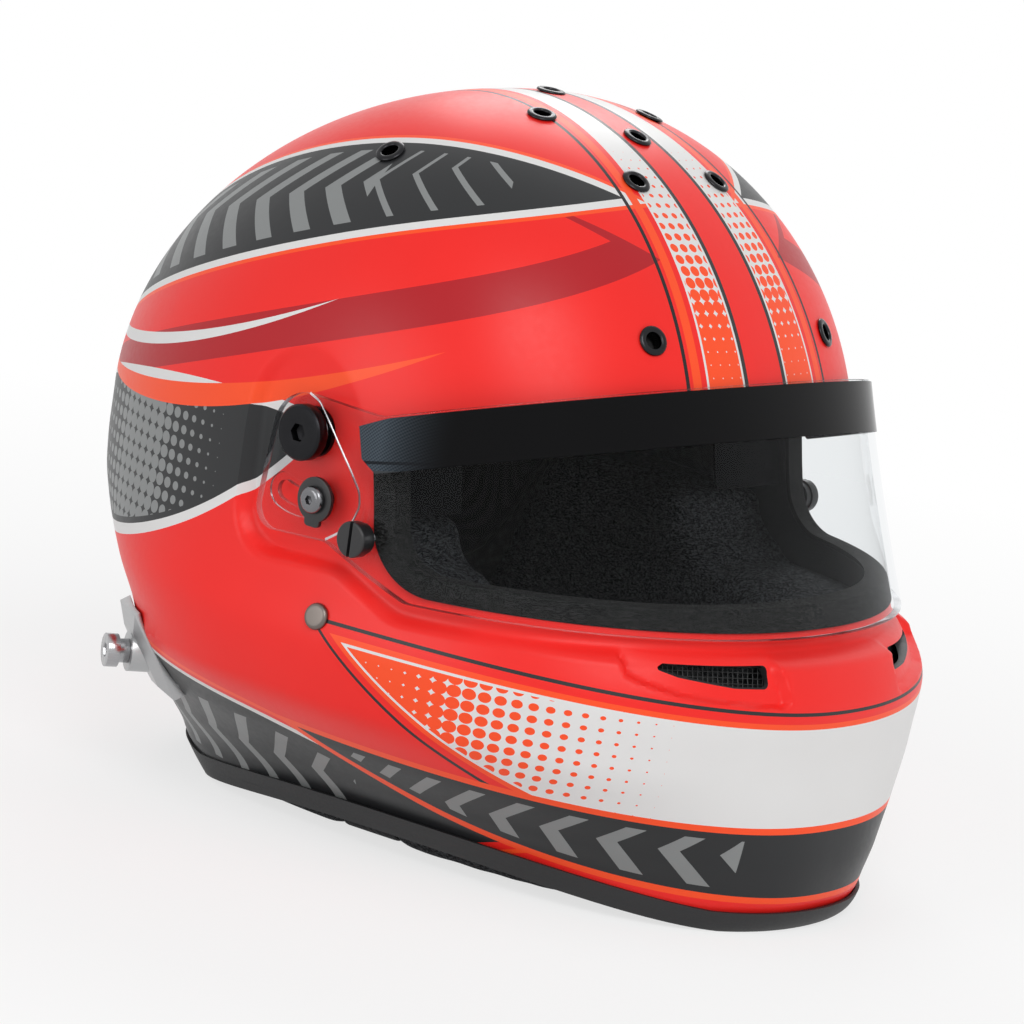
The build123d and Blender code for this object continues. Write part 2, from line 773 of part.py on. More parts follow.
# Rubber gasket round the eyeport: a flange over the shell and a lining through its wall
with BuildPart() as gasket_outside:
    add(form(-gasket_thickness - turn_gap))
    add(lens_body(lens_thickness + fit_gap), mode=Mode.INTERSECT)
with BuildPart() as under_gasket:
    add(skin_form)
    add(lens_body(recess_inset - turn_gap), mode=Mode.INTERSECT)
    add(side_prism(port_outline_shares, port_corner_radii, -gasket_flange - turn_gap), mode=Mode.SUBTRACT)
with BuildPart() as eyeport_gasket:
    add(side_prism(port_outline_shares, port_corner_radii))
    add(side_prism(port_outline_shares, port_corner_radii, -gasket_flange - gasket_lining), mode=Mode.SUBTRACT)
    add(gasket_outside.part, mode=Mode.INTERSECT)
    add(under_gasket.part, mode=Mode.SUBTRACT)
    add(form(shell_wall + gasket_lining), mode=Mode.SUBTRACT)
eyeport_gasket.part.label = "eyeport_gasket"
export_step(eyeport_gasket.part, "parts/eyeport_gasket.step")

# Rubber trim that holds the base rim in a channel
with BuildPart() as trim_band:
    add(form(-trim_proud))
    add(form(shell_wall + trim_lip), mode=Mode.SUBTRACT)
    add(under_rim(trim_height), mode=Mode.INTERSECT)
    add(under_rim(0), mode=Mode.SUBTRACT)
with BuildPart() as trim_channel:
    add(skin_form)
    add(form(shell_wall + turn_gap), mode=Mode.SUBTRACT)
    add(under_rim(trim_web), mode=Mode.SUBTRACT)
with BuildPart() as base_trim:
    add(trim_band.part)
    add(trim_channel.part, mode=Mode.SUBTRACT)
base_trim.part.label = "base_trim"
export_step(base_trim.part, "parts/base_trim.step")

# Visor lens with its two ears, detent slots and post holes
slot_half = detent_boss_radius + slot_gap


def slot_prism(half_width, low, high):
    """Curved slot round the pivot, from one height over the middle plane to another."""
    start = detent_angle - detent_slack_angle
    stop = detent_angle + visor_travel + detent_slack_angle
    with BuildPart() as solid:
        with BuildSketch(pivot_plane.offset(low)):
            with BuildLine(mode=Mode.PRIVATE) as middle:
                CenterArc((0, 0), detent_radius, start, stop - start)
            SlotArc(middle.edges()[0], 2 * half_width)
        extrude(amount=high - low)
    return solid.part


pivot_hole = turned(pivot_plane, [(floor_outer, lens_outer + overrun, pivot_sleeve_radius + turn_gap)])
detent_slot = slot_prism(slot_half, floor_outer, lens_outer + overrun)
detent_pocket = slot_prism(slot_half + detent_pocket_margin, lens_outer - detent_pocket_depth, lens_outer + overrun)
post_hole = turned(post_plane, [(floor_outer, lens_outer + overrun, post_shank_radius + turn_gap)])
lens_outside = lens_body(0)
with BuildPart() as visor_lens:
    add(lens_outside)
    add(lens_body(lens_thickness), mode=Mode.SUBTRACT)
    add(side_prism(visor_outline_shares, visor_corner_radii), mode=Mode.INTERSECT)
    for cut in (pivot_hole, detent_slot, detent_pocket, post_hole):
        add(cut, mode=Mode.SUBTRACT)
        add(mirror(cut, about=Plane.YZ), mode=Mode.SUBTRACT)
visor_lens.part.label = "visor_lens"
export_step(visor_lens.part, "parts/visor_lens.step")

# Opaque film across the top of the lens
with BuildPart() as sun_strip:
    add(lens_body(-film_gap - film_thickness))
    add(lens_body(-film_gap), mode=Mode.SUBTRACT)
    add(side_prism(strip_outline_shares, strip_corner_radii), mode=Mode.INTERSECT)
    add(side_prism(visor_outline_shares, visor_corner_radii, -strip_margin), mode=Mode.INTERSECT)
sun_strip.part.label = "sun_strip"
export_step(sun_strip.part, "parts/sun_strip.step")

# Pivot bush: a spacer under the ear and a sleeve through it
bush_foot = floor_outer + turn_gap
bush_shoulder = lens_inner - turn_gap
bush_top = lens_outer + 2 * turn_gap
with BuildPart() as pivot_bush_left:
    add(turned(pivot_plane, [
        (bush_foot, bush_shoulder, pivot_flange_radius),
        (bush_shoulder, bush_top, pivot_sleeve_radius),
    ]))
    add(turned(pivot_plane, [(bush_foot - overrun, bush_top + overrun, pivot_shank_radius + turn_gap)]), mode=Mode.SUBTRACT)
pivot_bush_left.part.label = "pivot_bush_left"
export_step(pivot_bush_left.part, "parts/pivot_bush_left.step")

# Pivot screw: wide head with a hexagon socket
head_foot = bush_top + turn_gap
head_top = head_foot + pivot_head_height
insert_foot = floor_inner - turn_gap - insert_flange_height
screw_end = insert_foot - screw_reach + 2 * insert_flange_height
with BuildPart() as pivot_screw_left:
    add(turned(pivot_plane, [
        (screw_end, head_foot, pivot_shank_radius),
        (head_foot, head_top, pivot_head_radius),
    ]))
    chamfer(pivot_screw_left.edges().group_by(Axis.X)[-1], length=pivot_head_height / 6)
    add(hex_pocket(pivot_plane, pivot_socket, head_top, pivot_socket_depth), mode=Mode.SUBTRACT)
pivot_screw_left.part.label = "pivot_screw_left"
export_step(pivot_screw_left.part, "parts/pivot_screw_left.step")

# Threaded insert for the pivot screw, flanged inside the shell
with BuildPart() as pivot_insert_left:
    add(turned(pivot_plane, [
        (insert_foot, floor_inner - turn_gap, pivot_flange_radius),
        (floor_inner - turn_gap, floor_outer, pivot_barrel_radius),
    ]))
    add(turned(pivot_plane, [(0, lens_outer, pivot_shank_radius + turn_gap)]), mode=Mode.SUBTRACT)
pivot_insert_left.part.label = "pivot_insert_left"
export_step(pivot_insert_left.part, "parts/pivot_insert_left.step")

# Detent washer: a disc with a tab over the ear, and a boss through the curved slot
washer_foot = lens_outer + turn_gap
washer_top = washer_foot + detent_washer_height
with BuildPart() as detent_washer_left:
    with BuildSketch(detent_plane.offset(washer_foot)):
        Circle(detent_washer_radius)
        with Locations((0, -detent_tab_drop / 2)):
            RectangleRounded(detent_tab_width, detent_tab_drop + detent_tab_width / 2, detent_tab_width / 4)
    extrude(amount=detent_washer_height)
    add(turned(detent_plane, [(bush_foot, washer_foot, detent_boss_radius)]))
    add(turned(detent_plane, [(0, lens_outer + overrun, detent_shank_radius + turn_gap)]), mode=Mode.SUBTRACT)
detent_washer_left.part.label = "detent_washer_left"
export_step(detent_washer_left.part, "parts/detent_washer_left.step")

# Detent screw: button head with a small hexagon socket
button_foot = washer_top + turn_gap
button_top = button_foot + detent_head_height
with BuildPart() as detent_screw_left:
    add(turned(detent_plane, [
        (screw_end, button_foot, detent_shank_radius),
        (button_foot, button_top, detent_head_radius),
    ]))
    fillet(detent_screw_left.edges().group_by(Axis.X)[-1], radius=detent_head_height * 0.7)
    add(hex_pocket(detent_plane, detent_socket, button_top, detent_socket_depth), mode=Mode.SUBTRACT)
detent_screw_left.part.label = "detent_screw_left"
export_step(detent_screw_left.part, "parts/detent_screw_left.step")

# Threaded insert for the detent screw
with BuildPart() as detent_insert_left:
    add(turned(detent_plane, [
        (insert_foot, floor_inner - turn_gap, detent_flange_radius),
        (floor_inner - turn_gap, floor_outer, detent_barrel_radius),
    ]))
    add(turned(detent_plane, [(0, lens_outer, detent_shank_radius + turn_gap)]), mode=Mode.SUBTRACT)
detent_insert_left.part.label = "detent_insert_left"
export_step(detent_insert_left.part, "parts/detent_insert_left.step")

# Tear-off post: slotted knob whose shank turns in the lens
post_foot = lens_outer + turn_gap
post_shoulder = post_foot + post_neck_length
post_top = post_shoulder + post_head_length
with BuildPart() as tear_off_post_left:
    add(turned(post_plane, [
        (lens_inner, post_foot, post_shank_radius),
        (post_foot, post_shoulder, post_neck_radius),
        (post_shoulder, post_top, post_radius),
    ]))
    fillet(tear_off_post_left.edges().group_by(Axis.X)[-1], radius=post_head_length / 6)
    with BuildSketch(post_plane.offset(post_top - post_slot_depth)):
        Rectangle(post_slot_width, 3 * post_radius)
    extrude(amount=post_head_length, mode=Mode.SUBTRACT)
tear_off_post_left.part.label = "tear_off_post_left"
export_step(tear_off_post_left.part, "parts/tear_off_post_left.step")

# Woven mesh behind each chin vent, a flat net with square gaps
with BuildPart() as chin_vent_mesh_left:
    with BuildSketch(mesh_plane.offset(-mesh_depth - mesh_thickness)):
        Rectangle(mesh_span, mesh_tall)
        with GridLocations(mesh_pitch, mesh_pitch, mesh_columns, mesh_rows):
            Rectangle(mesh_gap, mesh_gap, mode=Mode.SUBTRACT)
    extrude(amount=mesh_thickness)
chin_vent_mesh_left.part.label = "chin_vent_mesh_left"
export_step(chin_vent_mesh_left.part, "parts/chin_vent_mesh_left.step")


def eyelet(plane):
    """Rolled metal ring with a barrel through the shell."""
    with BuildPart() as ring:
        add(turned(plane, [
            (-shell_wall, eyelet_seat, eyelet_barrel),
            (eyelet_seat, eyelet_seat + eyelet_rise, eyelet_radius),
        ]))
        add(turned(plane, [(-overrun, overrun, eyelet_bore)]), mode=Mode.SUBTRACT)
    return ring.part


# Vent eyelets, one node for the brow and one for the crown
with BuildPart() as brow_eyelets:
    for plane in eyelet_planes[0]:
        add(eyelet(plane))
brow_eyelets.part.label = "brow_eyelets"
export_step(brow_eyelets.part, "parts/brow_eyelets.step")

with BuildPart() as crown_eyelets:
    for plane in eyelet_planes[1]:
        add(eyelet(plane))
crown_eyelets.part.label = "crown_eyelets"
export_step(crown_eyelets.part, "parts/crown_eyelets.step")

# Strap rivet: domed head outside, shank through the wall
rivet_seat = 5 * turn_gap
washer_face = -shell_wall - strap_gap - strap_thickness - fit_gap
washer_back = washer_face - washer_thickness
with BuildPart() as strap_rivet_left:
    add(turned(rivet_plane, [
        (washer_back - turn_gap - rivet_clench_height, washer_back - turn_gap, rivet_clench_radius),
        (washer_back - turn_gap, rivet_seat, rivet_shank_radius),
        (rivet_seat, rivet_seat + rivet_rise, rivet_radius),
    ]))
    rivet_edges = strap_rivet_left.edges().filter_by(GeomType.CIRCLE).sort_by(lambda e: rivet_plane.to_local_coords(e.center()).Z)
    fillet(rivet_edges[-1:], radius=rivet_rise * 0.9)
strap_rivet_left.part.label = "strap_rivet_left"
export_step(strap_rivet_left.part, "parts/strap_rivet_left.step")

# Washer plate that spreads the rivet's pull over the strap
with BuildPart() as strap_washer_left:
    add(turned(rivet_plane, [(washer_back, washer_face, washer_radius)]))
    add(turned(rivet_plane, [(-overrun, overrun, rivet_shank_radius + turn_gap)]), mode=Mode.SUBTRACT)
strap_washer_left.part.label = "strap_washer_left"
export_step(strap_washer_left.part, "parts/strap_washer_left.step")

# Chin strap half: down inside the shell, under the cheek pad and up its face
with BuildPart() as plain_strap:
    add(ribbon(strap_path, strap_thickness, strap_width))
    add(turned(rivet_plane, [(-overrun / 2, overrun / 2, rivet_shank_radius + turn_gap)]), mode=Mode.SUBTRACT)
with BuildPart() as chin_strap_right:
    add(mirror(plain_strap.part, about=Plane.YZ))
chin_strap_right.part.label = "chin_strap_right"
export_step(chin_strap_right.part, "parts/chin_strap_right.step")

# The left half ends in a stitched loop that carries the two rings
loop_radius = loop_bore + loop_wall
loop_depth = tail_depth + loop_radius - strap_thickness / 2
loop_plane = Plane(
    origin=strap_plane.from_local_coords((loop_depth, strap_tail)), x_dir=strap_plane.x_dir, z_dir=strap_plane.z_dir
)
with BuildPart() as chin_strap_left:
    add(plain_strap.part)
    add(turned(loop_plane, [(-strap_width / 2, strap_width / 2, loop_radius)]))
    add(turned(loop_plane, [(-overrun, overrun, loop_bore)]), mode=Mode.SUBTRACT)
chin_strap_left.part.label = "chin_strap_left"
export_step(chin_strap_left.part, "parts/chin_strap_left.step")

# Two steel rings that swing together in the loop
ring_corners = [
    (-ring_width / 2, 0),
    (ring_width / 2, 0),
    (ring_width / 2, -ring_drop),
    (-ring_width / 2, -ring_drop),
]
ring_radii = [2 * ring_wire_radius, 2 * ring_wire_radius, ring_bend, ring_bend]
ring_parts = []
for side in (1, -1):
    ring_plane = Plane(
        origin=loop_plane.from_local_coords((side * ring_spacing / 2, 0)), x_dir=-loop_plane.z_dir, z_dir=loop_plane.x_dir
    )
    with BuildPart() as ring:
        with BuildLine(ring_plane) as ring_path:
            FilletPolyline(*ring_corners, radius=ring_radii, close=True)
        ring_bar = ring_path.edges().sort_by(Axis.Z)[-1]
        with BuildSketch(Plane(origin=ring_bar @ 0.5, z_dir=ring_bar % 0.5)):
            Circle(ring_wire_radius)
        sweep(path=ring_path.wires()[0])
    ring_parts.append(ring.part)
with BuildPart() as d_rings:
    add(ring_parts)
d_rings.part.label = "d_rings"
export_step(d_rings.part, "parts/d_rings.step")

# Head restraint anchor: faceted plate on the shell, with a level boss for its post
tether_foot = [(-forward * tether_foot_length, up * tether_foot_length) for forward, up in tether_foot_shares]
tether_top = [(x * tether_top_share, y * tether_top_share) for x, y in tether_foot]
tether_tilt = Plane(origin=tether_skin.origin, x_dir=tether_plane.x_dir, z_dir=tether_skin.z_dir)
tether_seat = tether_plate_rise + tether_boss_length
with BuildPart() as anchor_block:
    with BuildSketch(tether_tilt.offset(-tether_sink)):
        with BuildLine():
            Polyline(*tether_foot, close=True)
        make_face()
    extrude(amount=tether_sink + tether_plate_edge)
anchor_faces = []
for rise, outline in ((tether_plate_edge, tether_foot), (tether_plate_rise, tether_top)):
    with BuildSketch(tether_tilt.offset(rise)) as facet:
        with BuildLine():
            Polyline(*outline, close=True)
        make_face()
    anchor_faces.append(facet.sketch.faces()[0])
with BuildPart() as tether_plate_left:
    add(anchor_block.part)
    loft(anchor_faces, ruled=True)
    add(turned(tether_plane, [(-tether_sink, tether_seat, tether_boss_radius)]))
    add(skin_form, mode=Mode.SUBTRACT)
    add(turned(tether_plane, [(-overrun, overrun, tether_shank_radius + turn_gap)]), mode=Mode.SUBTRACT)
tether_plate_left.part.label = "tether_plate_left"
export_step(tether_plate_left.part, "parts/tether_plate_left.step")

# Anchor post: head and neck that a tether clip slides over, and a threaded shank
neck_foot = tether_seat + turn_gap
neck_top = neck_foot + tether_neck_length
post_end = neck_top + tether_head_length
with BuildPart() as tether_post_left:
    add(turned(tether_plane, [
        (-tether_flange_depth, neck_foot, tether_shank_radius),
        (neck_foot, neck_top, tether_neck_radius),
        (neck_top, post_end, tether_post_radius),
    ]))
    add(hex_pocket(tether_plane, tether_socket, post_end, tether_socket_depth), mode=Mode.SUBTRACT)
tether_post_left.part.label = "tether_post_left"
export_step(tether_post_left.part, "parts/tether_post_left.step")

# Threaded insert for the anchor post, its flange cut to the shell's slope
with BuildPart() as flange:
    add(turned(tether_plane, [(-tether_flange_depth, 0, tether_flange_radius)]))
    add(form(shell_wall + turn_gap), mode=Mode.INTERSECT)
with BuildPart() as barrel:
    add(turned(tether_plane, [(-tether_flange_depth, shell_wall, tether_barrel_radius)]))
    add(outer_form, mode=Mode.INTERSECT)
with BuildPart() as tether_insert_left:
    add(flange.part)
    add(barrel.part)
    add(turned(tether_plane, [(-overrun, overrun, tether_shank_radius + turn_gap)]), mode=Mode.SUBTRACT)
tether_insert_left.part.label = "tether_insert_left"
export_step(tether_insert_left.part, "parts/tether_insert_left.step")

# The same hardware on the wearer's right side
with BuildPart() as pivot_bush_right:
    add(mirror(pivot_bush_left.part, about=Plane.YZ))
pivot_bush_right.part.label = "pivot_bush_right"
export_step(pivot_bush_right.part, "parts/pivot_bush_right.step")

with BuildPart() as pivot_screw_right:
    add(mirror(pivot_screw_left.part, about=Plane.YZ))
pivot_screw_right.part.label = "pivot_screw_right"
export_step(pivot_screw_right.part, "parts/pivot_screw_right.step")

with BuildPart() as pivot_insert_right:
    add(mirror(pivot_insert_left.part, about=Plane.YZ))
pivot_insert_right.part.label = "pivot_insert_right"
export_step(pivot_insert_right.part, "parts/pivot_insert_right.step")

with BuildPart() as detent_washer_right:
    add(mirror(detent_washer_left.part, about=Plane.YZ))
detent_washer_right.part.label = "detent_washer_right"
export_step(detent_washer_right.part, "parts/detent_washer_right.step")

with BuildPart() as detent_screw_right:
    add(mirror(detent_screw_left.part, about=Plane.YZ))
detent_screw_right.part.label = "detent_screw_right"
export_step(detent_screw_right.part, "parts/detent_screw_right.step")

with BuildPart() as detent_insert_right:
    add(mirror(detent_insert_left.part, about=Plane.YZ))
detent_insert_right.part.label = "detent_insert_right"
export_step(detent_insert_right.part, "parts/detent_insert_right.step")

with BuildPart() as tear_off_post_right:
    add(mirror(tear_off_post_left.part, about=Plane.YZ))
tear_off_post_right.part.label = "tear_off_post_right"
export_step(tear_off_post_right.part, "parts/tear_off_post_right.step")

with BuildPart() as chin_vent_mesh_right:
    add(mirror(chin_vent_mesh_left.part, about=Plane.YZ))
chin_vent_mesh_right.part.label = "chin_vent_mesh_right"
export_step(chin_vent_mesh_right.part, "parts/chin_vent_mesh_right.step")

with BuildPart() as strap_rivet_right:
    add(mirror(strap_rivet_left.part, about=Plane.YZ))
strap_rivet_right.part.label = "strap_rivet_right"
export_step(strap_rivet_right.part, "parts/strap_rivet_right.step")

with BuildPart() as strap_washer_right:
    add(mirror(strap_washer_left.part, about=Plane.YZ))
strap_washer_right.part.label = "strap_washer_right"
export_step(strap_washer_right.part, "parts/strap_washer_right.step")

with BuildPart() as tether_plate_right:
    add(mirror(tether_plate_left.part, about=Plane.YZ))
tether_plate_right.part.label = "tether_plate_right"
export_step(tether_plate_right.part, "parts/tether_plate_right.step")

with BuildPart() as tether_post_right:
    add(mirror(tether_post_left.part, about=Plane.YZ))
tether_post_right.part.label = "tether_post_right"
export_step(tether_post_right.part, "parts/tether_post_right.step")

with BuildPart() as tether_insert_right:
    add(mirror(tether_insert_left.part, about=Plane.YZ))
tether_insert_right.part.label = "tether_insert_right"
export_step(tether_insert_right.part, "parts/tether_insert_right.step")
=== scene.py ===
"""Full-face auto racing helmet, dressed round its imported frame.

Lengths inside the makers are millimetres.
"""

import json
import math

import bmesh
import bpy
import numpy as np
from bpy.props import FloatProperty, FloatVectorProperty, IntProperty, PointerProperty
from mathutils import Matrix, Vector
from mathutils.geometry import convex_hull_2d


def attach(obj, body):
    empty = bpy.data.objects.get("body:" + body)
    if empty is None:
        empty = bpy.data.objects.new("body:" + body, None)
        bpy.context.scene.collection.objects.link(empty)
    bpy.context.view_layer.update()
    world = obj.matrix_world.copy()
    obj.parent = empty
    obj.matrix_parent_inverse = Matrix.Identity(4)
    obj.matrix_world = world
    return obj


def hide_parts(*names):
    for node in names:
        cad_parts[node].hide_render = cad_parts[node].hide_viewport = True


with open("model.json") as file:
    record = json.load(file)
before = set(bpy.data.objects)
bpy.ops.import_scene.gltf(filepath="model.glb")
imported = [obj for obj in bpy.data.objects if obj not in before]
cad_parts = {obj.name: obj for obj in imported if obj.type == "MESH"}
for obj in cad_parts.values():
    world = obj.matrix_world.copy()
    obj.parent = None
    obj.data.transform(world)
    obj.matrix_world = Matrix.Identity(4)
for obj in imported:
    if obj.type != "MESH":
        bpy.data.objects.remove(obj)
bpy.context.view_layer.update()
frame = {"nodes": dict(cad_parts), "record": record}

bl_info = {
    "name": "Racing Helmet Finish",
    "version": (1, 0, 0),
    "blender": (4, 5, 0),
    "location": "View3D > Sidebar > Helmet",
    "description": "Makes the painted shell, visor, padding and hardware of a full-face racing helmet",
    "category": "Object",
}

MM = 0.001

# ---------------------------------------------------------------- the shell's form
HEIGHT, HALF, FRONT, REAR = 271.0, 125.5, 117.1, 167.2
BELT = 0.51 * HEIGHT
CROWN_Y, MIDDLE_Y = 0.0718 * REAR, 0.0837 * REAR
STATIONS = BELT * np.array([0, 0.09, 0.19, 0.31, 0.44, 0.58, 0.7, 0.8, 0.9, 1])
FRONTS = FRONT * np.array([1.361, 1.415, 1.431, 1.422, 1.41, 1.418, 1.362, 1.232, 1.08, 1])
REARS = REAR * np.array([0.608, 0.73, 0.776, 0.773, 0.776, 0.861, 0.949, 0.991, 1.001, 1])
HALVES = HALF * np.array([0.717, 0.717, 0.788, 0.921, 1.034, 1.054, 1.027, 1.009, 1.002, 1])
WALL = 4.0
FRONT_POWER, REAR_POWER = 2.3, 2.17

# The visor's cone and the side outlines, as (y, z)
LENS_HALF, LENS_POWER, LENS_BEND = 125.8, 2.08, -28.5076


def side(*shares):
    return [(y * REAR, z * HEIGHT) for y, z in shares]


PORT_OUTLINE = side((-1.05, 0.3948), (-0.2548, 0.3849), (-0.1884, 0.5812), (-1.05, 0.7223))
PORT_LINING, CUT_REACH = 5.0, 200.0
PORT_ROUNDS = [0, 26 - PORT_LINING, 10 - PORT_LINING, 0]
RECESS_OUTLINE = side(
    (-1.077, 0.3764), (-0.32, 0.3616), (-0.16, 0.405), (0.12, 0.394),
    (0.12, 0.655), (-0.22, 0.655), (-0.31, 0.52), (-1.077, 0.52),
)
RECESS_ROUNDS = [0, 20, 20, 14, 22, 8, 8, 0]
RECESS_DEPTH, RECESS_SHOULDER = 5.0, 5.0

# The rim's arch as (y, rise), front, middle and rear
ARCH_FRONT, ARCH_MIDDLE, ARCH_REAR, ARCH_RISE = -149.98, -31.77, 70.22, 8.5

VENT_Y, VENT_Z, VENT_LENGTH, VENT_TALL = -149.14, 91.0, 44.0, 7.6
VENT_HOLE = [(-0.47, 0.46), (-0.4, 0.7), (0.5, 0.8), (0.515, -0.2), (0.2, -0.17), (-0.28, 0.17)]
VENT_ROUNDS = [1.6, 1.4, 1.9, 1.9, 8.0, 8.0]
VENT_POCKET = [
    (-0.79, 1.1), (-0.74, 0.05), (-0.6, -0.24), (-0.26, -0.68), (0.64, -1.08), (0.72, -0.7), (0.66, 0.43), (0.57, 1.1),
]
POCKET_DEPTH, POCKET_BACK, POCKET_WALL, POCKET_SHOULDER = 3.5, 2.0, 2.5, 3.5
RIM_LIFT = 2.9
EYELETS_BROW = [(0.402, -0.553), (0.186, -0.32), (0, -0.196)]
EYELETS_CROWN = [(0.247, -0.074), (0.64, 0.082), (0, 0.063)]


def flowing(z, heights, values):
    """Smooth line through a table without overshoot."""
    z = np.clip(z, heights[0], heights[-1])
    step = np.diff(heights)
    slope = np.diff(values) / step
    lean = np.zeros(len(heights))
    both = slope[1:] * slope[:-1] > 0
    lean[1:-1][both] = 2 * slope[1:][both] * slope[:-1][both] / (slope[1:][both] + slope[:-1][both])
    lean[0] = slope[0]
    k = np.clip(np.searchsorted(heights, z, side="right") - 1, 0, len(step) - 1)
    t = (z - heights[k]) / step[k]
    a, b = values[k], values[k + 1]
    return (
        (2 * t**3 - 3 * t**2 + 1) * a + (t**3 - 2 * t**2 + t) * step[k] * lean[k]
        + (-2 * t**3 + 3 * t**2) * b + (t**3 - t**2) * step[k] * lean[k + 1]
    )


def dome(rise, power):
    return np.maximum(1 - rise**power, 0) ** (1 / power)


def reaches(z, inset=0.0):
    """Front reach, rear reach, half width and middle of the form at these heights."""
    z = np.asarray(z, float)
    rise = np.clip((z - BELT) / (HEIGHT - inset - BELT), 0, 1)
    low = z < BELT
    front = np.where(low, flowing(z, STATIONS, FRONTS) - inset, (FRONT - inset + CROWN_Y) * dome(rise, 1.9) - CROWN_Y)
    rear = np.where(low, flowing(z, STATIONS, REARS) - inset, CROWN_Y + (REAR - inset - CROWN_Y) * dome(rise, 1.73))
    half = np.where(low, flowing(z, STATIONS, HALVES) - inset, (HALF - inset) * dome(rise, 2.29))
    middle = np.where(low, MIDDLE_Y, CROWN_Y + (MIDDLE_Y - CROWN_Y) * dome(rise, 2))
    return front, rear, half, middle


def around(t, z, inset=0.0):
    """Points of the form: t turns from the front over the wearer's left."""
    front, rear, half, middle = reaches(z, inset)
    s, c = np.sin(t), np.cos(t)
    power = np.where(c > 0, FRONT_POWER, REAR_POWER)
    reach = np.where(c > 0, front + middle, rear - middle)
    x = half * np.sign(s) * np.abs(s) ** (2 / power)
    y = middle - reach * np.sign(c) * np.abs(c) ** (2 / power)
    return x, y


def fullness(x, y, z):
    """1 on the form, less inside it."""
    front, rear, half, middle = reaches(z)
    power = np.where(y > middle, REAR_POWER, FRONT_POWER)
    reach = np.where(y > middle, rear - middle, front + middle)
    return np.abs(x / half) ** power + np.abs((y - middle) / reach) ** power


def side_place(y, z, inset=0.0):
    """Half width of the form at this place."""
    front, rear, half, middle = reaches(z, inset)
    power = np.where(y > middle, REAR_POWER, FRONT_POWER)
    reach = np.where(y > middle, rear - middle, front + middle)
    return half * np.maximum(1 - np.abs((y - middle) / reach) ** power, 0) ** (1 / power)


def form_normal(x, y, z, step=0.05):
    n = np.array([
        fullness(x + step, y, z) - fullness(x - step, y, z),
        fullness(x, y + step, z) - fullness(x, y - step, z),
        fullness(x, y, z + step) - fullness(x, y, z - step),
    ], float)
    return n / np.linalg.norm(n)


def dome_place(x, y):
    """Point and normal of the dome above this place."""
    low, high = BELT, HEIGHT
    for _ in range(50):
        z = (low + high) / 2
        if fullness(x, y, min(z, HEIGHT - 0.02)) < 1:
            low = z
        else:
            high = z
    z = min(low, HEIGHT - 0.1)
    return Vector((x, y, z)), Vector(form_normal(x, y, z))


def arch(y):
    """How far the rim stands above the ground."""
    (ay, az), (by, bz), (cy, cz) = (ARCH_FRONT, 0.0), (ARCH_MIDDLE, ARCH_RISE), (ARCH_REAR, 0.0)
    d = 2 * (ay * (bz - cz) + by * (cz - az) + cy * (az - bz))
    oy = ((ay**2 + az**2) * (bz - cz) + (by**2 + bz**2) * (cz - az) + (cy**2 + cz**2) * (az - bz)) / d
    oz = ((ay**2 + az**2) * (cy - by) + (by**2 + bz**2) * (ay - cy) + (cy**2 + cz**2) * (by - ay)) / d
    r = math.hypot(ay - oy, az - oz)
    y = np.asarray(y, float)
    inside = (y > ARCH_FRONT) & (y < ARCH_REAR)
    return np.where(inside, oz + np.sqrt(np.maximum(r**2 - (y - oy) ** 2, 0)), 0.0)


def lens_front(z, inset=0.0):
    """How far the visor's face stands in front of its bend."""
    low, high = 0.3838 * HEIGHT, 0.6827 * HEIGHT
    part = (z - low) / (high - low)
    return 1.304 * FRONT + part * (0.9607 - 1.304) * FRONT - inset + LENS_BEND


def lens_fullness(x, y, z, inset):
    """1 on the visor's face drawn in by this much, less inside it."""
    ahead = np.maximum(LENS_BEND - y, 0) / lens_front(z, inset)
    return np.abs(x / (LENS_HALF - inset)) ** LENS_POWER + ahead**LENS_POWER


def rounded(points, radii, steps=8):
    """Outline with its corners rounded, as a list of points."""
    out, count = [], len(points)
    radii = [radii] * count if isinstance(radii, (int, float)) else radii
    for i, (p, r) in enumerate(zip(points, radii)):
        p = np.array(p, float)
        if not r:
            out.append(p)
            continue
        a, b = np.array(points[i - 1], float) - p, np.array(points[(i + 1) % count], float) - p
        la, lb = np.linalg.norm(a), np.linalg.norm(b)
        a, b = a / la, b / lb
        half_angle = math.acos(np.clip(a @ b, -1, 1)) / 2
        reach = min(r / math.tan(half_angle), 0.49 * la, 0.49 * lb)
        r = reach * math.tan(half_angle)
        centre = p + (a + b) / np.linalg.norm(a + b) * r / math.sin(half_angle)
        start, end = p + a * reach - centre, p + b * reach - centre
        for k in range(steps + 1):
            v = start * (1 - k / steps) + end * k / steps
            out.append(centre + v / np.linalg.norm(v) * r)
    return np.array(out)


def moved_out(points, distance):
    """The straight outline moved outwards, or inwards if less than nothing."""
    points = [np.array(p, float) for p in points]
    area = sum(a[0] * b[1] - b[0] * a[1] for a, b in zip(points, points[1:] + points[:1]))
    sign = 1 if area > 0 else -1
    lines = []
    for a, b in zip(points, points[1:] + points[:1]):
        d = (b - a) / np.linalg.norm(b - a)
        lines.append((a + sign * distance * np.array([d[1], -d[0]]), d))
    out = []
    for (p, d), (q, e) in zip(lines[-1:] + lines[:-1], lines):
        t = ((q - p)[0] * e[1] - (q - p)[1] * e[0]) / (d[0] * e[1] - d[1] * e[0])
        out.append(tuple(p + t * d))
    return out


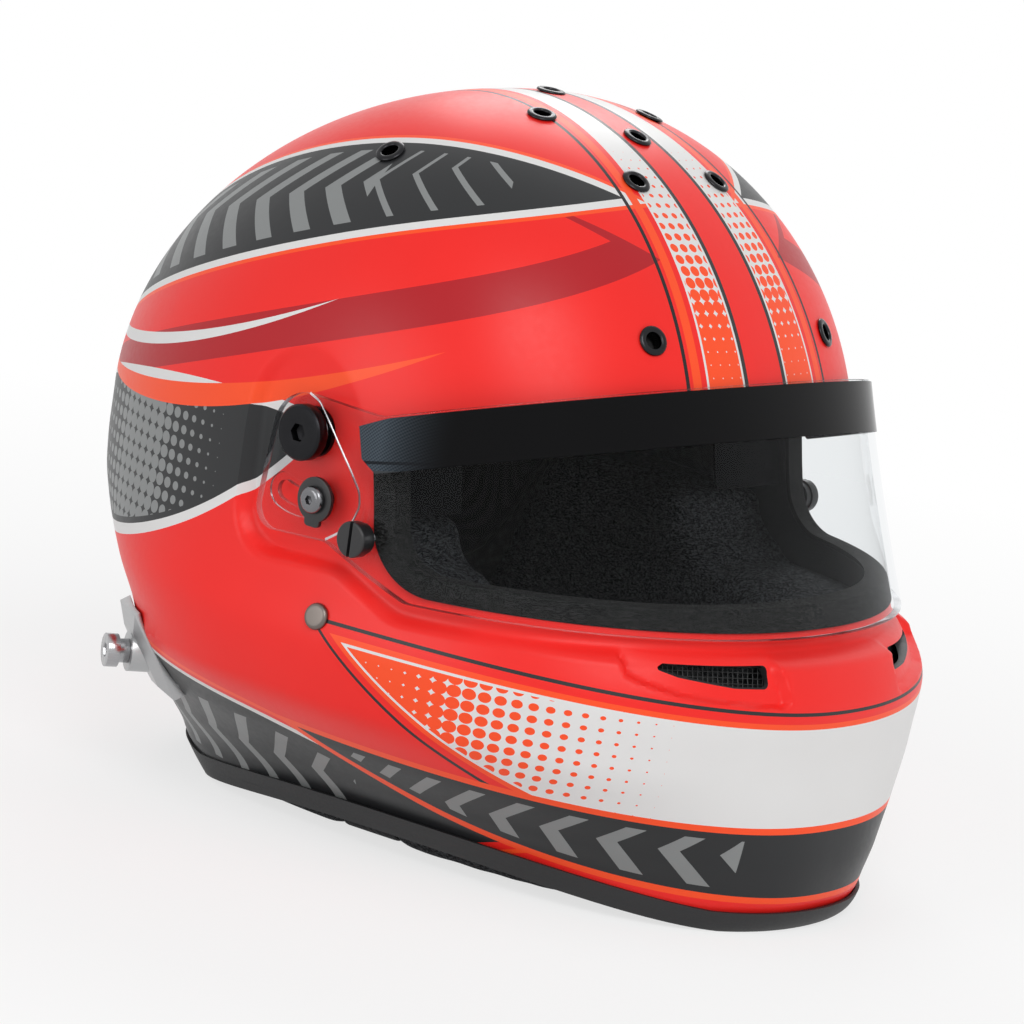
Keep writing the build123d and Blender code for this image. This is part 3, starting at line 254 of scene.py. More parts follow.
def outline_distance(outline, u, v):
    """Signed distance to a closed outline, less than nothing inside."""
    best = np.full(u.shape, 1e9)
    inside = np.zeros(u.shape, bool)
    for (ax, ay), (bx, by) in zip(outline, np.roll(outline, -1, axis=0)):
        ex, ey = bx - ax, by - ay
        long = ex * ex + ey * ey
        if long < 1e-9:
            continue
        t = np.clip(((u - ax) * ex + (v - ay) * ey) / long, 0, 1)
        best = np.minimum(best, (u - ax - t * ex) ** 2 + (v - ay - t * ey) ** 2)
        cross = (ay > v) != (by > v)
        inside ^= cross & (u < (bx - ax) * (v - ay) / (by - ay if by != ay else 1e-9) + ax)
    return np.sqrt(best) * np.where(inside, -1, 1)


def ease(t):
    t = np.clip(t, 0, 1)
    return t * t * (3 - 2 * t)


# ---------------------------------------------------------------- pieces
def new_piece(name, points, faces, smooth=True):
    """Mesh object from points in millimetres."""
    mesh = bpy.data.meshes.new(name)
    mesh.from_pydata((np.asarray(points, float) * MM).tolist(), [], [tuple(f) for f in faces])
    mesh.validate()
    if smooth:
        mesh.shade_smooth()
    piece = bpy.data.objects.new(name, mesh)
    bpy.context.scene.collection.objects.link(piece)
    return piece


def ring_faces(rows, columns, closed=True):
    """Quads of a grid whose rows close round."""
    faces = []
    span = columns if closed else columns - 1
    for i in range(rows - 1):
        for j in range(span):
            k = (j + 1) % columns
            faces.append((i * columns + j, i * columns + k, (i + 1) * columns + k, (i + 1) * columns + j))
    return faces


def prism(name, outline, low, high, place):
    """Closed prism: place turns (u, v, w) into a point."""
    count = len(outline)
    points = [place(u, v, w) for w in (low, high) for u, v in outline]
    faces = [tuple(range(count))[::-1], tuple(range(count, 2 * count))]
    faces += [(i, (i + 1) % count, count + (i + 1) % count, count + i) for i in range(count)]
    piece = new_piece(name, points, faces, smooth=False)
    turn_out(piece)
    return piece


def turn_out(piece):
    """Turns all faces of a closed piece outwards."""
    mesh = bmesh.new()
    mesh.from_mesh(piece.data)
    bmesh.ops.recalc_face_normals(mesh, faces=mesh.faces)
    mesh.to_mesh(piece.data)
    mesh.free()


def lathe(name, profile, origin, axis, steps=48):
    """Closed turned piece from (radius, height) points about an axis."""
    axis = Vector(axis).normalized()
    turn = axis.to_track_quat("Z", "Y").to_matrix()
    points = []
    for r, h in profile:
        for k in range(steps):
            a = 2 * math.pi * k / steps
            points.append(Vector(origin) + turn @ Vector((r * math.cos(a), r * math.sin(a), h)))
    faces = ring_faces(len(profile), steps)
    last = (len(profile) - 1) * steps
    faces += [(last + j, last + (j + 1) % steps, (j + 1) % steps, j) for j in range(steps)]
    piece = new_piece(name, [tuple(p) for p in points], faces)
    turn_out(piece)
    return piece


def drop(*pieces):
    for piece in pieces:
        mesh = piece.data
        bpy.data.objects.remove(piece)
        bpy.data.meshes.remove(mesh)


def settled(piece):
    """Applies every modifier of a piece."""
    graph = bpy.context.evaluated_depsgraph_get()
    mesh = bpy.data.meshes.new_from_object(piece.evaluated_get(graph))
    old = piece.data
    piece.modifiers.clear()
    piece.data = mesh
    mesh.name = piece.name
    bpy.data.meshes.remove(old)
    return piece


def cut(piece, *tools):
    """Cuts closed pieces out of another."""
    for tool in tools:
        bite = piece.modifiers.new("cut", "BOOLEAN")
        bite.operation, bite.solver, bite.object = "DIFFERENCE", "EXACT", tool
    settled(piece)
    drop(*tools)
    return piece


def copy_of(node, name):
    """A piece of its own with a CAD node's mesh."""
    source = frame["nodes"][node]
    piece = bpy.data.objects.new(name, source.data.copy())
    piece.data.materials.clear()
    bpy.context.scene.collection.objects.link(piece)
    return piece


def soft_edges(piece, width, segments=2, angle=35.0):
    bevel = piece.modifiers.new("edges", "BEVEL")
    bevel.width, bevel.segments, bevel.limit_method = width * MM, segments, "ANGLE"
    bevel.angle_limit = math.radians(angle)
    bevel.harden_normals = False
    return bevel


def dress(piece, material, body, slot, *nodes):
    """Gives a new piece its material and body, and hides the nodes that it stands for. The slot is not used."""
    piece.data.materials.clear()
    piece.data.materials.append(material)
    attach(piece, body)
    if nodes:
        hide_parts(*nodes)
    return piece


# ---------------------------------------------------------------- material kit
class Field:
    """A number that varies over a surface, with its sums written plainly."""

    def __init__(self, tree, out):
        self.tree, self.out = tree, out

    def op(self, kind, *values):
        node = self.tree.nodes.new("ShaderNodeMath")
        node.operation = kind
        for socket, value in zip(node.inputs, (self, *values)):
            feed(self.tree, socket, value)
        return Field(self.tree, node.outputs[0])

    def __add__(self, other):
        return self.op("ADD", other)

    def __radd__(self, other):
        return self.op("ADD", other)

    def __sub__(self, other):
        return self.op("SUBTRACT", other)

    def __rsub__(self, other):
        return self.op("MULTIPLY", -1.0).op("ADD", other)

    def __mul__(self, other):
        return self.op("MULTIPLY", other)

    def __rmul__(self, other):
        return self.op("MULTIPLY", other)

    def least(self, *others):
        out = self
        for other in others:
            out = out.op("MINIMUM", other)
        return out

    def most(self, *others):
        out = self
        for other in others:
            out = out.op("MAXIMUM", other)
        return out

    def over(self, value):
        return self.op("GREATER_THAN", value)

    def under(self, value):
        return self.op("LESS_THAN", value)

    def size(self):
        return self.op("ABSOLUTE")

    def part(self):
        return self.op("FRACT")

    def whole(self):
        return self.op("FLOOR")


def feed(tree, socket, value):
    """Links a field or another node's output to a socket, or sets a plain value."""
    value = value.out if isinstance(value, Field) else value
    if isinstance(value, bpy.types.NodeSocket):
        tree.links.new(value, socket)
    else:
        socket.default_value = value


def feed_all(tree, node, **values):
    """Feeds inputs by name, with _ for each space."""
    for name, value in values.items():
        feed(tree, node.inputs[name.replace("_", " ")], value)
    return node


def new_node(tree, kind, **values):
    return feed_all(tree, tree.nodes.new(kind), **values)


def blend_colour(tree, mask, below, above):
    """above laid over below where the mask is 1."""
    node = tree.nodes.new("ShaderNodeMix")
    node.data_type = "RGBA"
    for i, value in ((0, mask), (6, below), (7, above)):
        feed(tree, node.inputs[i], (*value[:3], 1.0) if isinstance(value, tuple) else value)
    return node.outputs[2]


def new_material(name):
    """Material with a bare Principled shader: returns it, its tree and the shader."""
    material = bpy.data.materials.new(name)
    material.use_nodes = True
    tree = material.node_tree
    tree.nodes.clear()
    out = tree.nodes.new("ShaderNodeOutputMaterial")
    shader = tree.nodes.new("ShaderNodeBsdfPrincipled")
    tree.links.new(shader.outputs[0], out.inputs["Surface"])
    return material, tree, shader


def place_fields(tree):
    """Object place in millimetres as three fields."""
    where = tree.nodes.new("ShaderNodeTexCoord").outputs["Object"]
    parts = new_node(tree, "ShaderNodeSeparateXYZ", Vector=where)
    return [Field(tree, parts.outputs[i]) * (1 / MM) for i in range(3)]


def effect(name, inputs, outputs, build):
    """Shader node group, built once. build takes the tree, its inputs and the place, and returns its outputs."""
    group = bpy.data.node_groups.get(name)
    if group:
        return group
    group = bpy.data.node_groups.new(name, "ShaderNodeTree")
    for title, kind, value in inputs:
        socket = group.interface.new_socket(title, in_out="INPUT", socket_type=kind)
        socket.default_value = value
    for title, kind in outputs:
        group.interface.new_socket(title, in_out="OUTPUT", socket_type=kind)
    source = group.nodes.new("NodeGroupInput")
    sink = group.nodes.new("NodeGroupOutput")
    given = {title: source.outputs[i] for i, (title, _, _) in enumerate(inputs)}
    made = build(group, given, group.nodes.new("ShaderNodeTexCoord").outputs["Object"])
    for i, (title, _) in enumerate(outputs):
        value = made[title]
        group.links.new(value.out if isinstance(value, Field) else value, sink.inputs[i])
    return group


def use_effect(tree, group, **values):
    node = tree.nodes.new("ShaderNodeGroup")
    node.node_tree = group
    return feed_all(tree, node, **values)


def roughness_range(tree, given, value):
    """Spreads a noise over the group's smooth and rough ends."""
    ends = {"To_Min": given["Smooth"], "To_Max": given["Rough"]}
    return new_node(tree, "ShaderNodeMapRange", Value=value, From_Min=0.3, From_Max=0.7, **ends).outputs["Result"]


def satin_grain():
    """Fine mottling of a moulded, sprayed or cast surface."""

    def build(tree, given, place):
        fine = new_node(tree, "ShaderNodeTexNoise", Vector=place, Scale=given["Scale"], Detail=3.0, Roughness=0.6)
        broad = new_node(tree, "ShaderNodeTexNoise", Vector=place, Scale=28.0, Detail=2.0)
        spread = Field(tree, fine.outputs["Fac"]) * 0.6 + Field(tree, broad.outputs["Fac"]) * 0.4
        rough = roughness_range(tree, given, spread)
        return {"Roughness": rough, "Height": fine.outputs["Fac"], "Mottle": broad.outputs["Fac"]}

    return effect(
        "Satin Grain",
        [("Scale", "NodeSocketFloat", 1500.0), ("Smooth", "NodeSocketFloat", 0.35), ("Rough", "NodeSocketFloat", 0.5)],
        [("Roughness", "NodeSocketFloat"), ("Height", "NodeSocketFloat"), ("Mottle", "NodeSocketFloat")],
        build,
    )


YARN_COLOURS = (("Dark", "NodeSocketColor", (0.01, 0.01, 0.01, 1)), ("Light", "NodeSocketColor", (0.1, 0.1, 0.1, 1)))


def heather_yarn():
    """Flecked knitted fabric: a speckle of two yarns over short fibres."""

    def build(tree, given, place):
        warp = new_node(tree, "ShaderNodeTexNoise", Vector=place, Scale=given["Scale"], Detail=4.0, Roughness=0.75)
        stretch = new_node(tree, "ShaderNodeMapping", Vector=place, Scale=(1.0, 1.0, 2.6))
        fleck = new_node(tree, "ShaderNodeTexVoronoi", Vector=stretch.outputs[0], Scale=given["Scale"])
        shade = new_node(tree, "ShaderNodeSeparateXYZ", Vector=fleck.outputs["Color"])
        tone = Field(tree, warp.outputs["Fac"]) * 0.7 + Field(tree, shade.outputs[0]) * 0.45
        level = new_node(tree, "ShaderNodeMapRange", Value=tone, From_Min=0.42, From_Max=0.82)
        colour = blend_colour(tree, level.outputs[0], given["Dark"], given["Light"])
        height = Field(tree, warp.outputs["Fac"]) + Field(tree, fleck.outputs["Distance"]) * 0.8
        return {"Color": colour, "Height": height}

    return effect(
        "Heather Yarn",
        [("Scale", "NodeSocketFloat", 900.0), *YARN_COLOURS],
        [("Color", "NodeSocketColor"), ("Height", "NodeSocketFloat")],
        build,
    )


def brushed_grain():
    """Fine parallel scratches along one direction of the surface."""

    def build(tree, given, place):
        stretch = new_node(tree, "ShaderNodeMapping", Vector=place, Scale=(0.35, 0.35, 9.0))
        lines = new_node(
            tree, "ShaderNodeTexNoise", Vector=stretch.outputs[0], Scale=given["Scale"], Detail=5.0, Roughness=0.7
        )
        height = lines.outputs["Fac"]
        return {"Roughness": roughness_range(tree, given, height), "Height": height}

    return effect(
        "Brushed Grain",
        [("Scale", "NodeSocketFloat", 400.0), ("Smooth", "NodeSocketFloat", 0.25), ("Rough", "NodeSocketFloat", 0.45)],
        [("Roughness", "NodeSocketFloat"), ("Height", "NodeSocketFloat")],
        build,
    )


def mix_shaders(tree, share, first, second):
    """Shows a mix of two shader nodes, the second by share, as the surface."""
    mix = tree.nodes.new("ShaderNodeMixShader")
    for socket, value in zip(mix.inputs, (share, first.outputs[0], second.outputs[0])):
        feed(tree, socket, value)
    out = next(node for node in tree.nodes if node.type.startswith("OUTPUT"))
    tree.links.new(mix.outputs[0], out.inputs["Surface"])


def raise_surface(tree, shader, height, distance, strength=1.0):
    bump = new_node(tree, "ShaderNodeBump", Height=height, Strength=strength, Distance=distance * MM)
    tree.links.new(bump.outputs[0], shader.inputs["Normal"])


def plain_finish(name, colour, smooth, rough, metallic=0.0, scale=1500.0, depth=0.02, specular=0.5, vary=0.08):
    """Moulded or sprayed finish with a fine grain and a slight change of tone."""
    material, tree, shader = new_material(name)
    grain = use_effect(tree, satin_grain(), Scale=scale, Smooth=smooth, Rough=rough)
    dark = tuple(c * (1 - vary) for c in colour)
    light = tuple(min(c * (1 + vary), 1) for c in colour)
    tone = blend_colour(tree, grain.outputs["Mottle"], dark, light)
    feed_all(tree, shader, Base_Color=tone, Roughness=grain.outputs["Roughness"])
    feed_all(tree, shader, Metallic=metallic, Specular_IOR_Level=specular)
    raise_surface(tree, shader, grain.outputs["Height"], depth)
    return material


def metal_finish(name, colour, smooth, rough, scale=400.0, depth=0.01):
    """Machined or brushed metal."""
    material, tree, shader = new_material(name)
    grain = use_effect(tree, brushed_grain(), Scale=scale, Smooth=smooth, Rough=rough)
    tone = blend_colour(tree, grain.outputs["Height"], tuple(c * 0.85 for c in colour), colour)
    feed_all(tree, shader, Base_Color=tone, Roughness=grain.outputs["Roughness"], Metallic=1.0)
    raise_surface(tree, shader, grain.outputs["Height"], depth)
    return material


def fabric_finish(name, dark, light, scale, depth):
    """Flecked padding fabric."""
    material, tree, shader = new_material(name)
    yarn = use_effect(tree, heather_yarn(), Scale=scale, Dark=(*dark, 1), Light=(*light, 1))
    feed_all(tree, shader, Base_Color=yarn.outputs["Color"], Roughness=0.92, Specular_IOR_Level=0.2)
    raise_surface(tree, shader, yarn.outputs["Height"], depth)
    return material


# ---------------------------------------------------------------- paint
RED, DEEP_RED, WHITE, ORANGE = (0.9, 0.02, 0.016), (0.44, 0.008, 0.014), (0.76, 0.755, 0.75), (1.0, 0.085, 0.018)
DARK, BLACK, GREY = (0.02, 0.021, 0.0225), (0.008, 0.008, 0.009), (0.24, 0.25, 0.25)
ROUND_SCALE, ROUND_MIDDLE = 126.05, 14.0
DOME_SCALE, DOME_REACH = 130.0, 133.0


def leaf(u, w, centre, half_length, rise, bend, thick, skew=0.0):
    """How far inside a curved, pointed panel a place is, less than nothing outside."""
    along = (u - centre[0]) * (1.0 / half_length)
    middle = along * (rise * half_length) + along * along * bend + centre[1]
    shape = (1.0 - along * along) * (along * skew + 1.0) * thick
    return shape - (w - middle).size()


def dots(u, w, pitch, fade):
    """Round dots on a grid, growing with the fade from 0 to 1."""
    across = (u * (1.0 / pitch)).part() - 0.5
    up = (w * (1.0 / pitch)).part() - 0.5
    reach = fade * 0.66
    return (reach * reach * reach.over(0.02) - (across * across + up * up)).over(0.0)


def stripes(u, w, pitch, share, lean, middle):
    """Chevrons that point along u, on both sides of a middle height."""
    run = (u + (w - middle).size() * lean) * (1.0 / pitch)
    return run.part().under(share)


def bar(value, low, high):
    """1 between two limits."""
    return value.over(low) * value.under(high)


def shell_paint(settings):
    """Racing livery in satin paint, drawn from the place on the shell."""
    material, tree, shader = new_material("Painted Shell")
    x, y, z = place_fields(tree)
    side_x = x.size()
    turn = side_x.op("ARCTAN2", (y - ROUND_MIDDLE) * -1.0)
    u = turn * ROUND_SCALE
    lift = ((z - BELT) * (1.0 / DOME_REACH)).least(1.0).most(0.0)
    w = z.least(BELT) + lift.op("ARCSINE") * DOME_SCALE
    layers = []
    red, deep_red, dark = tuple(settings.shell_colour), tuple(settings.shade_colour), tuple(settings.panel_colour)
    white, orange, grey = tuple(settings.flash_colour), tuple(settings.line_colour), tuple(settings.motif_colour)

    def lay(mask, colour):
        layers.append((mask, colour))

    # long red-on-red sweeps under everything
    lay(leaf(u, w, (235, 205), 190, -0.32, -34, 40).over(0), deep_red)
    lay(leaf(u, w, (250, 211), 180, -0.34, -34, 36).over(0), red)

    # temple wing: dark, edged in white and orange
    wing = leaf(u, w, (228, 236), 172, -0.36, -40, 26, 0.25)
    lay(wing.over(-5.2), orange)
    lay(wing.over(-3.4), white)
    lay(wing.over(0), dark)
    lay(stripes(u, w + u * 0.36, 19.0, 0.42, 0.9, 318.0) * wing.over(4.5) * bar(u, 190, 330), grey)
    lay(stripes(u, w + u * 0.36, 19.0, 0.16, 0.9, 318.0) * wing.over(4.5) * bar(u, 120, 190), grey)

    # lower blade behind the ear
    blade = leaf(u, w, (300, 118), 122, -0.12, 20, 27, -0.3)
    lay(blade.over(-4.2), white)
    lay(blade.over(0), dark)
    check = (u * (1 / 11.0)).whole() + (w * (1 / 11.0)).whole()
    lay((check * 0.5).part().over(0.25) * blade.over(3.4) * bar(u, 318, 396), BLACK)
    swell = ((u - 218.0) * (1 / 50.0)).least((322.0 - u) * (1 / 50.0), 0.78).most(0.0)
    lay(dots(u, w, 5.2, swell) * blade.over(2.4) * bar(u, 218, 322), grey)
    streak = leaf(u, w, (236, 152), 104, -0.2, 16, 4.2)
    lay(streak.over(0), orange)
    streak = leaf(u, w, (276, 164), 96, -0.2, 16, 2.2)
    lay(streak.over(0), white)

    # skirt: dark band with chevrons, white and orange lines above it
    skirt = leaf(u, w, (272, 18), 188, 0.05, 12, 34).least(w * -1.0 + 60.0)
    lay(skirt.over(-5.4), orange)
    lay(skirt.over(-3.6), red)
    lay(skirt.over(-2.0) * w.over(20.0), white)
    lay(skirt.over(0), dark)
    lay(stripes(u, w, 24.0, 0.3, 1.0, 26.0) * skirt.over(5.0) * bar(u, 150, 300) * bar(w, 12, 40), grey)

    # chin: white flash over dark and orange lines
    front_u = (u * u + 1600.0).op("SQRT") - 40.0
    chin = leaf(front_u, w, (4, 52), 112, 0.14, 16, 24)
    lay(chin.over(-6.2), dark)
    lay(chin.over(-4.9), red)
    lay(chin.over(-2.0), orange)
    lay(chin.over(0), white)
    lay(dots(u, w, 4.4, ((u - 52.0) * (1 / 80.0)).least(1.0).most(0.0)) * chin.over(1.0), orange)
    under = leaf(front_u, w, (6, 26), 130, 0.06, 11, 12)
    lay(under.over(-2.4), orange)
    lay(under.over(0), dark)
    lay(stripes(u, w, 15.0, 0.35, 0.8, 30.0) * under.over(2.6) * bar(u, 30, 150), grey)

    # brow: white blaze over the crown with its own pinstripes, to a point at the back
    ahead = (y * -1.0 + 10.0) * (1 / 130.0)
    half = ahead.least(1.0).most(-0.4) * 15.0 + 18.0 - (y - 60.0).most(0.0) * 0.2
    spread = half - side_x
    high = w.over(150)
    lay(spread.over(-9.6) * spread.under(-8.0) * high, BLACK)
    lay(spread.over(-6.4) * spread.under(-2.6) * high, orange)
    lay(spread.over(0) * high, white)
    core = half * 0.32 - side_x
    lay(core.over(-2.0) * high, dark)
    lay(core.over(0) * high, red)
    fade = 1.0 - ((w - 196.0) * (1 / 92.0)).least(1.0).most(0.0)
    lay(dots(side_x, w, 4.6, fade) * spread.over(1.0) * core.under(-3.0) * high * y.under(-10), orange)

    paint = blend_colour(tree, 0.0, red, red)
    for mask, colour in layers:
        paint = blend_colour(tree, mask, paint, colour)
    grain = use_effect(tree, satin_grain(), Scale=420.0, Smooth=0.33, Rough=0.43)
    tone = blend_colour(tree, grain.outputs["Mottle"], (0.94, 0.94, 0.94), (1.0, 1.0, 1.0))
    mottled = blend_colour(tree, 1.0, paint, tone)
    mottled.node.blend_type = "MULTIPLY"
    feed_all(tree, shader, Base_Color=mottled, Roughness=grain.outputs["Roughness"], Specular_IOR_Level=0.3)
    raise_surface(tree, shader, grain.outputs["Height"], 0.012)
    return material


def raw_laminate():
    """Woven laminate of the shell's inner face and cut edges."""
    return plain_finish("Shell Laminate", (0.03, 0.03, 0.032), 0.5, 0.62, scale=700.0, depth=0.08)


# ---------------------------------------------------------------- the shell
def vent_frame():
    """Place of the chin vent: its middle, rearward axis and level outward axis."""
    x = float(side_place(VENT_Y, VENT_Z))
    n = form_normal(x, VENT_Y, VENT_Z)
    level = np.array([n[0], n[1], 0]) / math.hypot(n[0], n[1])
    return np.array([x, VENT_Y, VENT_Z]), np.array([-level[1], level[0], 0]), level, n


def vent_outline(shares, radius, growth=0.0):
    points = [(-along * VENT_LENGTH, up * VENT_TALL) for along, up in shares]
    return rounded(moved_out(points, growth) if growth else points, radius)


def sunk(x, y, z, depth, growth, pocket):
    """Presses the visor's recess and the vent pockets into a layer of the shell."""
    outline = rounded(moved_out(RECESS_OUTLINE, growth), [0 if not r else r + growth for r in RECESS_ROUNDS])
    away = outline_distance(outline, y, z)
    share = 1 - ease(away / RECESS_SHOULDER)
    qx, qy = x.copy(), y.copy()
    for _ in range(6):
        over = lens_fullness(qx, qy, z, depth) - 1
        gx = LENS_POWER * np.sign(qx) * np.abs(qx) ** (LENS_POWER - 1) / (LENS_HALF - depth) ** LENS_POWER
        ahead = np.maximum(LENS_BEND - qy, 0)
        gy = -LENS_POWER * ahead ** (LENS_POWER - 1) / lens_front(z, depth) ** LENS_POWER
        push = np.where(over > 0, over / np.maximum(gx**2 + gy**2, 1e-9), 0)
        qx, qy = qx - push * gx, qy - push * gy
    near = (z > 0.34 * HEIGHT) & (z < 0.68 * HEIGHT) & (y < 0.2 * REAR)
    share = np.where(near, share, 0)
    x, y = x + share * (qx - x), y + share * (qy - y)
    origin, along, level, normal = vent_frame()
    rear = np.stack([np.abs(x), y, z], -1) - origin
    away = outline_distance(vent_outline(VENT_POCKET, 2.0, pocket[1]), rear @ along, rear[..., 2])
    front = (rear @ level > -30) & (y < -60)
    share = np.where(front, pocket[0] * ease(-away / POCKET_SHOULDER), 0)
    return x - share * normal[0] * np.sign(x), y - share * normal[1], z - share * normal[2]


def shell_layer(inset, columns, low_rows, high_rows, depth, growth, pocket):
    """Rings of points up one face of the shell, and its top."""
    t = (np.arange(columns) + 0.5) / columns * 2 * math.pi
    foot = np.full(columns, 4.0)
    for _ in range(8):
        foot = RIM_LIFT + arch(around(t, foot, inset)[1])
    rings = []
    for k in range(low_rows):
        z = foot + (BELT - foot) * k / low_rows
        rings.append((*around(t, z, inset), z))
    for k in range(high_rows):
        rise = math.sin(0.5 * math.pi * k / high_rows)
        z = np.full(columns, BELT + (HEIGHT - inset - BELT) * rise)
        rings.append((*around(t, z, inset), z))
    x, y, z = (np.array([r[i] for r in rings]) for i in range(3))
    x, y, z = sunk(x, y, z, depth, growth, pocket)
    points = np.stack([x, y, z], -1).reshape(-1, 3)
    return np.vstack([points, [0, CROWN_Y, HEIGHT - inset]])


def make_shell(settings):
    """Painted shell with its eyeport, chin vents and vent holes cut."""
    columns, low, high = settings.shell_columns, settings.shell_rows, int(settings.shell_rows * 0.9)
    outer = shell_layer(0.0, columns, low, high, RECESS_DEPTH, 0.0, (POCKET_DEPTH, 0.0))
    inner_low, inner_high = low // 3, high // 3
    inner = shell_layer(WALL, columns, inner_low, inner_high, RECESS_DEPTH + WALL, WALL, (POCKET_BACK, POCKET_WALL))
    faces = ring_faces(low + high, columns)
    top = len(outer) - 1
    last = (low + high - 1) * columns
    faces += [(last + j, last + (j + 1) % columns, top) for j in range(columns)]
    shift = len(outer)
    faces += [tuple(shift + v for v in f[::-1]) for f in ring_faces(inner_low + inner_high, columns)]
    last = shift + (inner_low + inner_high - 1) * columns
    top = shift + len(inner) - 1
    faces += [(last + (j + 1) % columns, last + j, top) for j in range(columns)]
    faces += [(j, shift + j, shift + (j + 1) % columns, (j + 1) % columns) for j in range(columns)]
    piece = new_piece("helmet_shell", np.vstack([outer, inner]), faces)
    turn_out(piece)
    painted = (low + high) * columns
    piece.data.polygons.foreach_set("material_index", (np.arange(len(faces)) >= painted).astype(np.int32))
    port = rounded(moved_out(PORT_OUTLINE, -PORT_LINING), PORT_ROUNDS, 14)
    tools = [prism("port_tool", port, -CUT_REACH, CUT_REACH, lambda u, v, w: (w, u, v))]
    origin, along, level, normal = vent_frame()
    for sign in (1, -1):
        flip = np.array([sign, 1, 1])

        def place(u, v, w):
            return tuple((origin + along * u + level * w + np.array([0, 0, v])) * flip)

        tools.append(prism("vent_tool", vent_outline(VENT_HOLE, VENT_ROUNDS), -16, 10, place))
    for spot, normal in eyelet_places():
        profile = [(0.001, -9), (4.1, -9), (4.1, 5), (0.001, 5)]
        tools.append(lathe("eyelet_tool", profile, spot, normal, 32))
    with bpy.context.temp_override(active_object=tools[0], selected_editable_objects=tools, selected_objects=tools):
        bpy.ops.object.join()
    tools[0].data.polygons.foreach_set("material_index", np.ones(len(tools[0].data.polygons), np.int32))
    for material in (shell_paint(settings), raw_laminate()):
        piece.data.materials.append(material)
        tools[0].data.materials.append(material)
    cut(piece, tools[0])
    piece.data.set_sharp_from_angle(angle=math.radians(38))
    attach(piece, "helmet")
    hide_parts("shell")
    return piece


def eyelet_places():
    """Point and normal of every vent hole of the dome."""
    spots = [(a * s, b) for a, b in EYELETS_BROW + EYELETS_CROWN for s in ((1, -1) if a else (1,))]
    return [dome_place(a * HALF, b * REAR) for a, b in spots]


# ---------------------------------------------------------------- finishes of the other pieces
def woven_yarn():
    """Plain weave of two yarns crossing, over the place on the piece."""

    def build(tree, given, place):
        parts = new_node(tree, "ShaderNodeSeparateXYZ", Vector=place)
        across, up, along = (Field(tree, parts.outputs[i]) for i in range(3))
        pitch = Field(tree, given["Yarns per metre"])
        over = ((across + along) * pitch * math.pi).op("SINE")
        under = ((up + along * -1.0) * pitch * math.pi).op("SINE")
        weave = over * under
        noise = new_node(tree, "ShaderNodeTexNoise", Vector=place, Scale=2500.0, Detail=3.0)
        height = weave * 0.5 + Field(tree, noise.outputs["Fac"]) * 0.6
        level = new_node(tree, "ShaderNodeMapRange", Value=height, From_Min=-0.3, From_Max=0.9)
        return {"Color": blend_colour(tree, level.outputs[0], given["Dark"], given["Light"]), "Height": height}

    return effect(
        "Woven Yarn",
        [("Yarns per metre", "NodeSocketFloat", 900.0), *YARN_COLOURS],
        [("Color", "NodeSocketColor"), ("Height", "NodeSocketFloat")],
        build,
    )


def woven_finish(name, dark, light, yarns, depth, rough=0.8):
    """Plain woven cloth or webbing."""
    material, tree, shader = new_material(name)
    cloth = use_effect(tree, woven_yarn(), Yarns_per_metre=yarns, Dark=(*dark, 1), Light=(*light, 1))
    feed_all(tree, shader, Base_Color=cloth.outputs["Color"], Roughness=rough)
    feed_all(tree, shader, Sheen_Weight=0.04, Specular_IOR_Level=0.25)
    raise_surface(tree, shader, cloth.outputs["Height"], depth)
    return material


def foam_finish():
    """Moulded bead foam."""
    material, tree, shader = new_material("Impact Foam")
    where = tree.nodes.new("ShaderNodeTexCoord").outputs["Object"]
    beads = new_node(tree, "ShaderNodeTexVoronoi", Vector=where, Scale=330.0)
    level = new_node(tree, "ShaderNodeMapRange", Value=beads.outputs["Distance"], From_Min=0.1, From_Max=0.6)
    tone = blend_colour(tree, level.outputs[0], (0.035, 0.035, 0.037), (0.012, 0.012, 0.013))
    feed_all(tree, shader, Base_Color=tone, Roughness=0.75)
    turned = new_node(tree, "ShaderNodeMapRange", Value=beads.outputs["Distance"], To_Min=1.0, To_Max=0.0)
    raise_surface(tree, shader, turned.outputs[0], 0.35)
    return material


def clear_finish(settings):
    """Clear moulded visor: a see-through sheet that reflects at its surface."""
    material, tree, shader = new_material("Clear Visor")
    clear = new_node(tree, "ShaderNodeBsdfTransparent", Color=(*settings.visor_tint, 1))
    smear = use_effect(tree, satin_grain(), Scale=90.0, Smooth=0.01, Rough=0.04)
    feed_all(tree, shader, Base_Color=(0.9, 0.92, 0.94, 1), Roughness=smear.outputs["Roughness"], Metallic=1.0)
    shine = new_node(tree, "ShaderNodeFresnel", IOR=1.2)
    inner = Field(tree, tree.nodes.new("ShaderNodeNewGeometry").outputs["Backfacing"])
    mix_shaders(tree, Field(tree, shine.outputs[0]) * (1.0 - inner), clear, shader)
    return material


def edge_glint_finish():
    """Polished cut edge of the visor, slightly blue-grey, with painted glints and painted shade: its colour is mottled
    from near black to near white for the bright and dark lines of light along the edge.
    """
    material, tree, shader = new_material("Visor Edge Glints")
    clear = new_node(tree, "ShaderNodeBsdfTransparent", Color=(0.7, 0.72, 0.75, 1))
    grain = use_effect(tree, satin_grain(), Scale=240.0, Smooth=0.03, Rough=0.22)
    level = new_node(tree, "ShaderNodeMapRange", Value=grain.outputs["Mottle"], From_Min=0.38, From_Max=0.54)
    # painted glints and painted shade: the edge's colour runs from near black to near white over the mottle
    tone = blend_colour(tree, level.outputs[0], (0.1, 0.105, 0.115), (0.95, 0.96, 0.98))
    feed_all(tree, shader, Base_Color=tone, Roughness=grain.outputs["Roughness"], Metallic=0.85)
    raise_surface(tree, shader, grain.outputs["Height"], 0.1)
    mix_shaders(tree, 0.78, clear, shader)
    return material


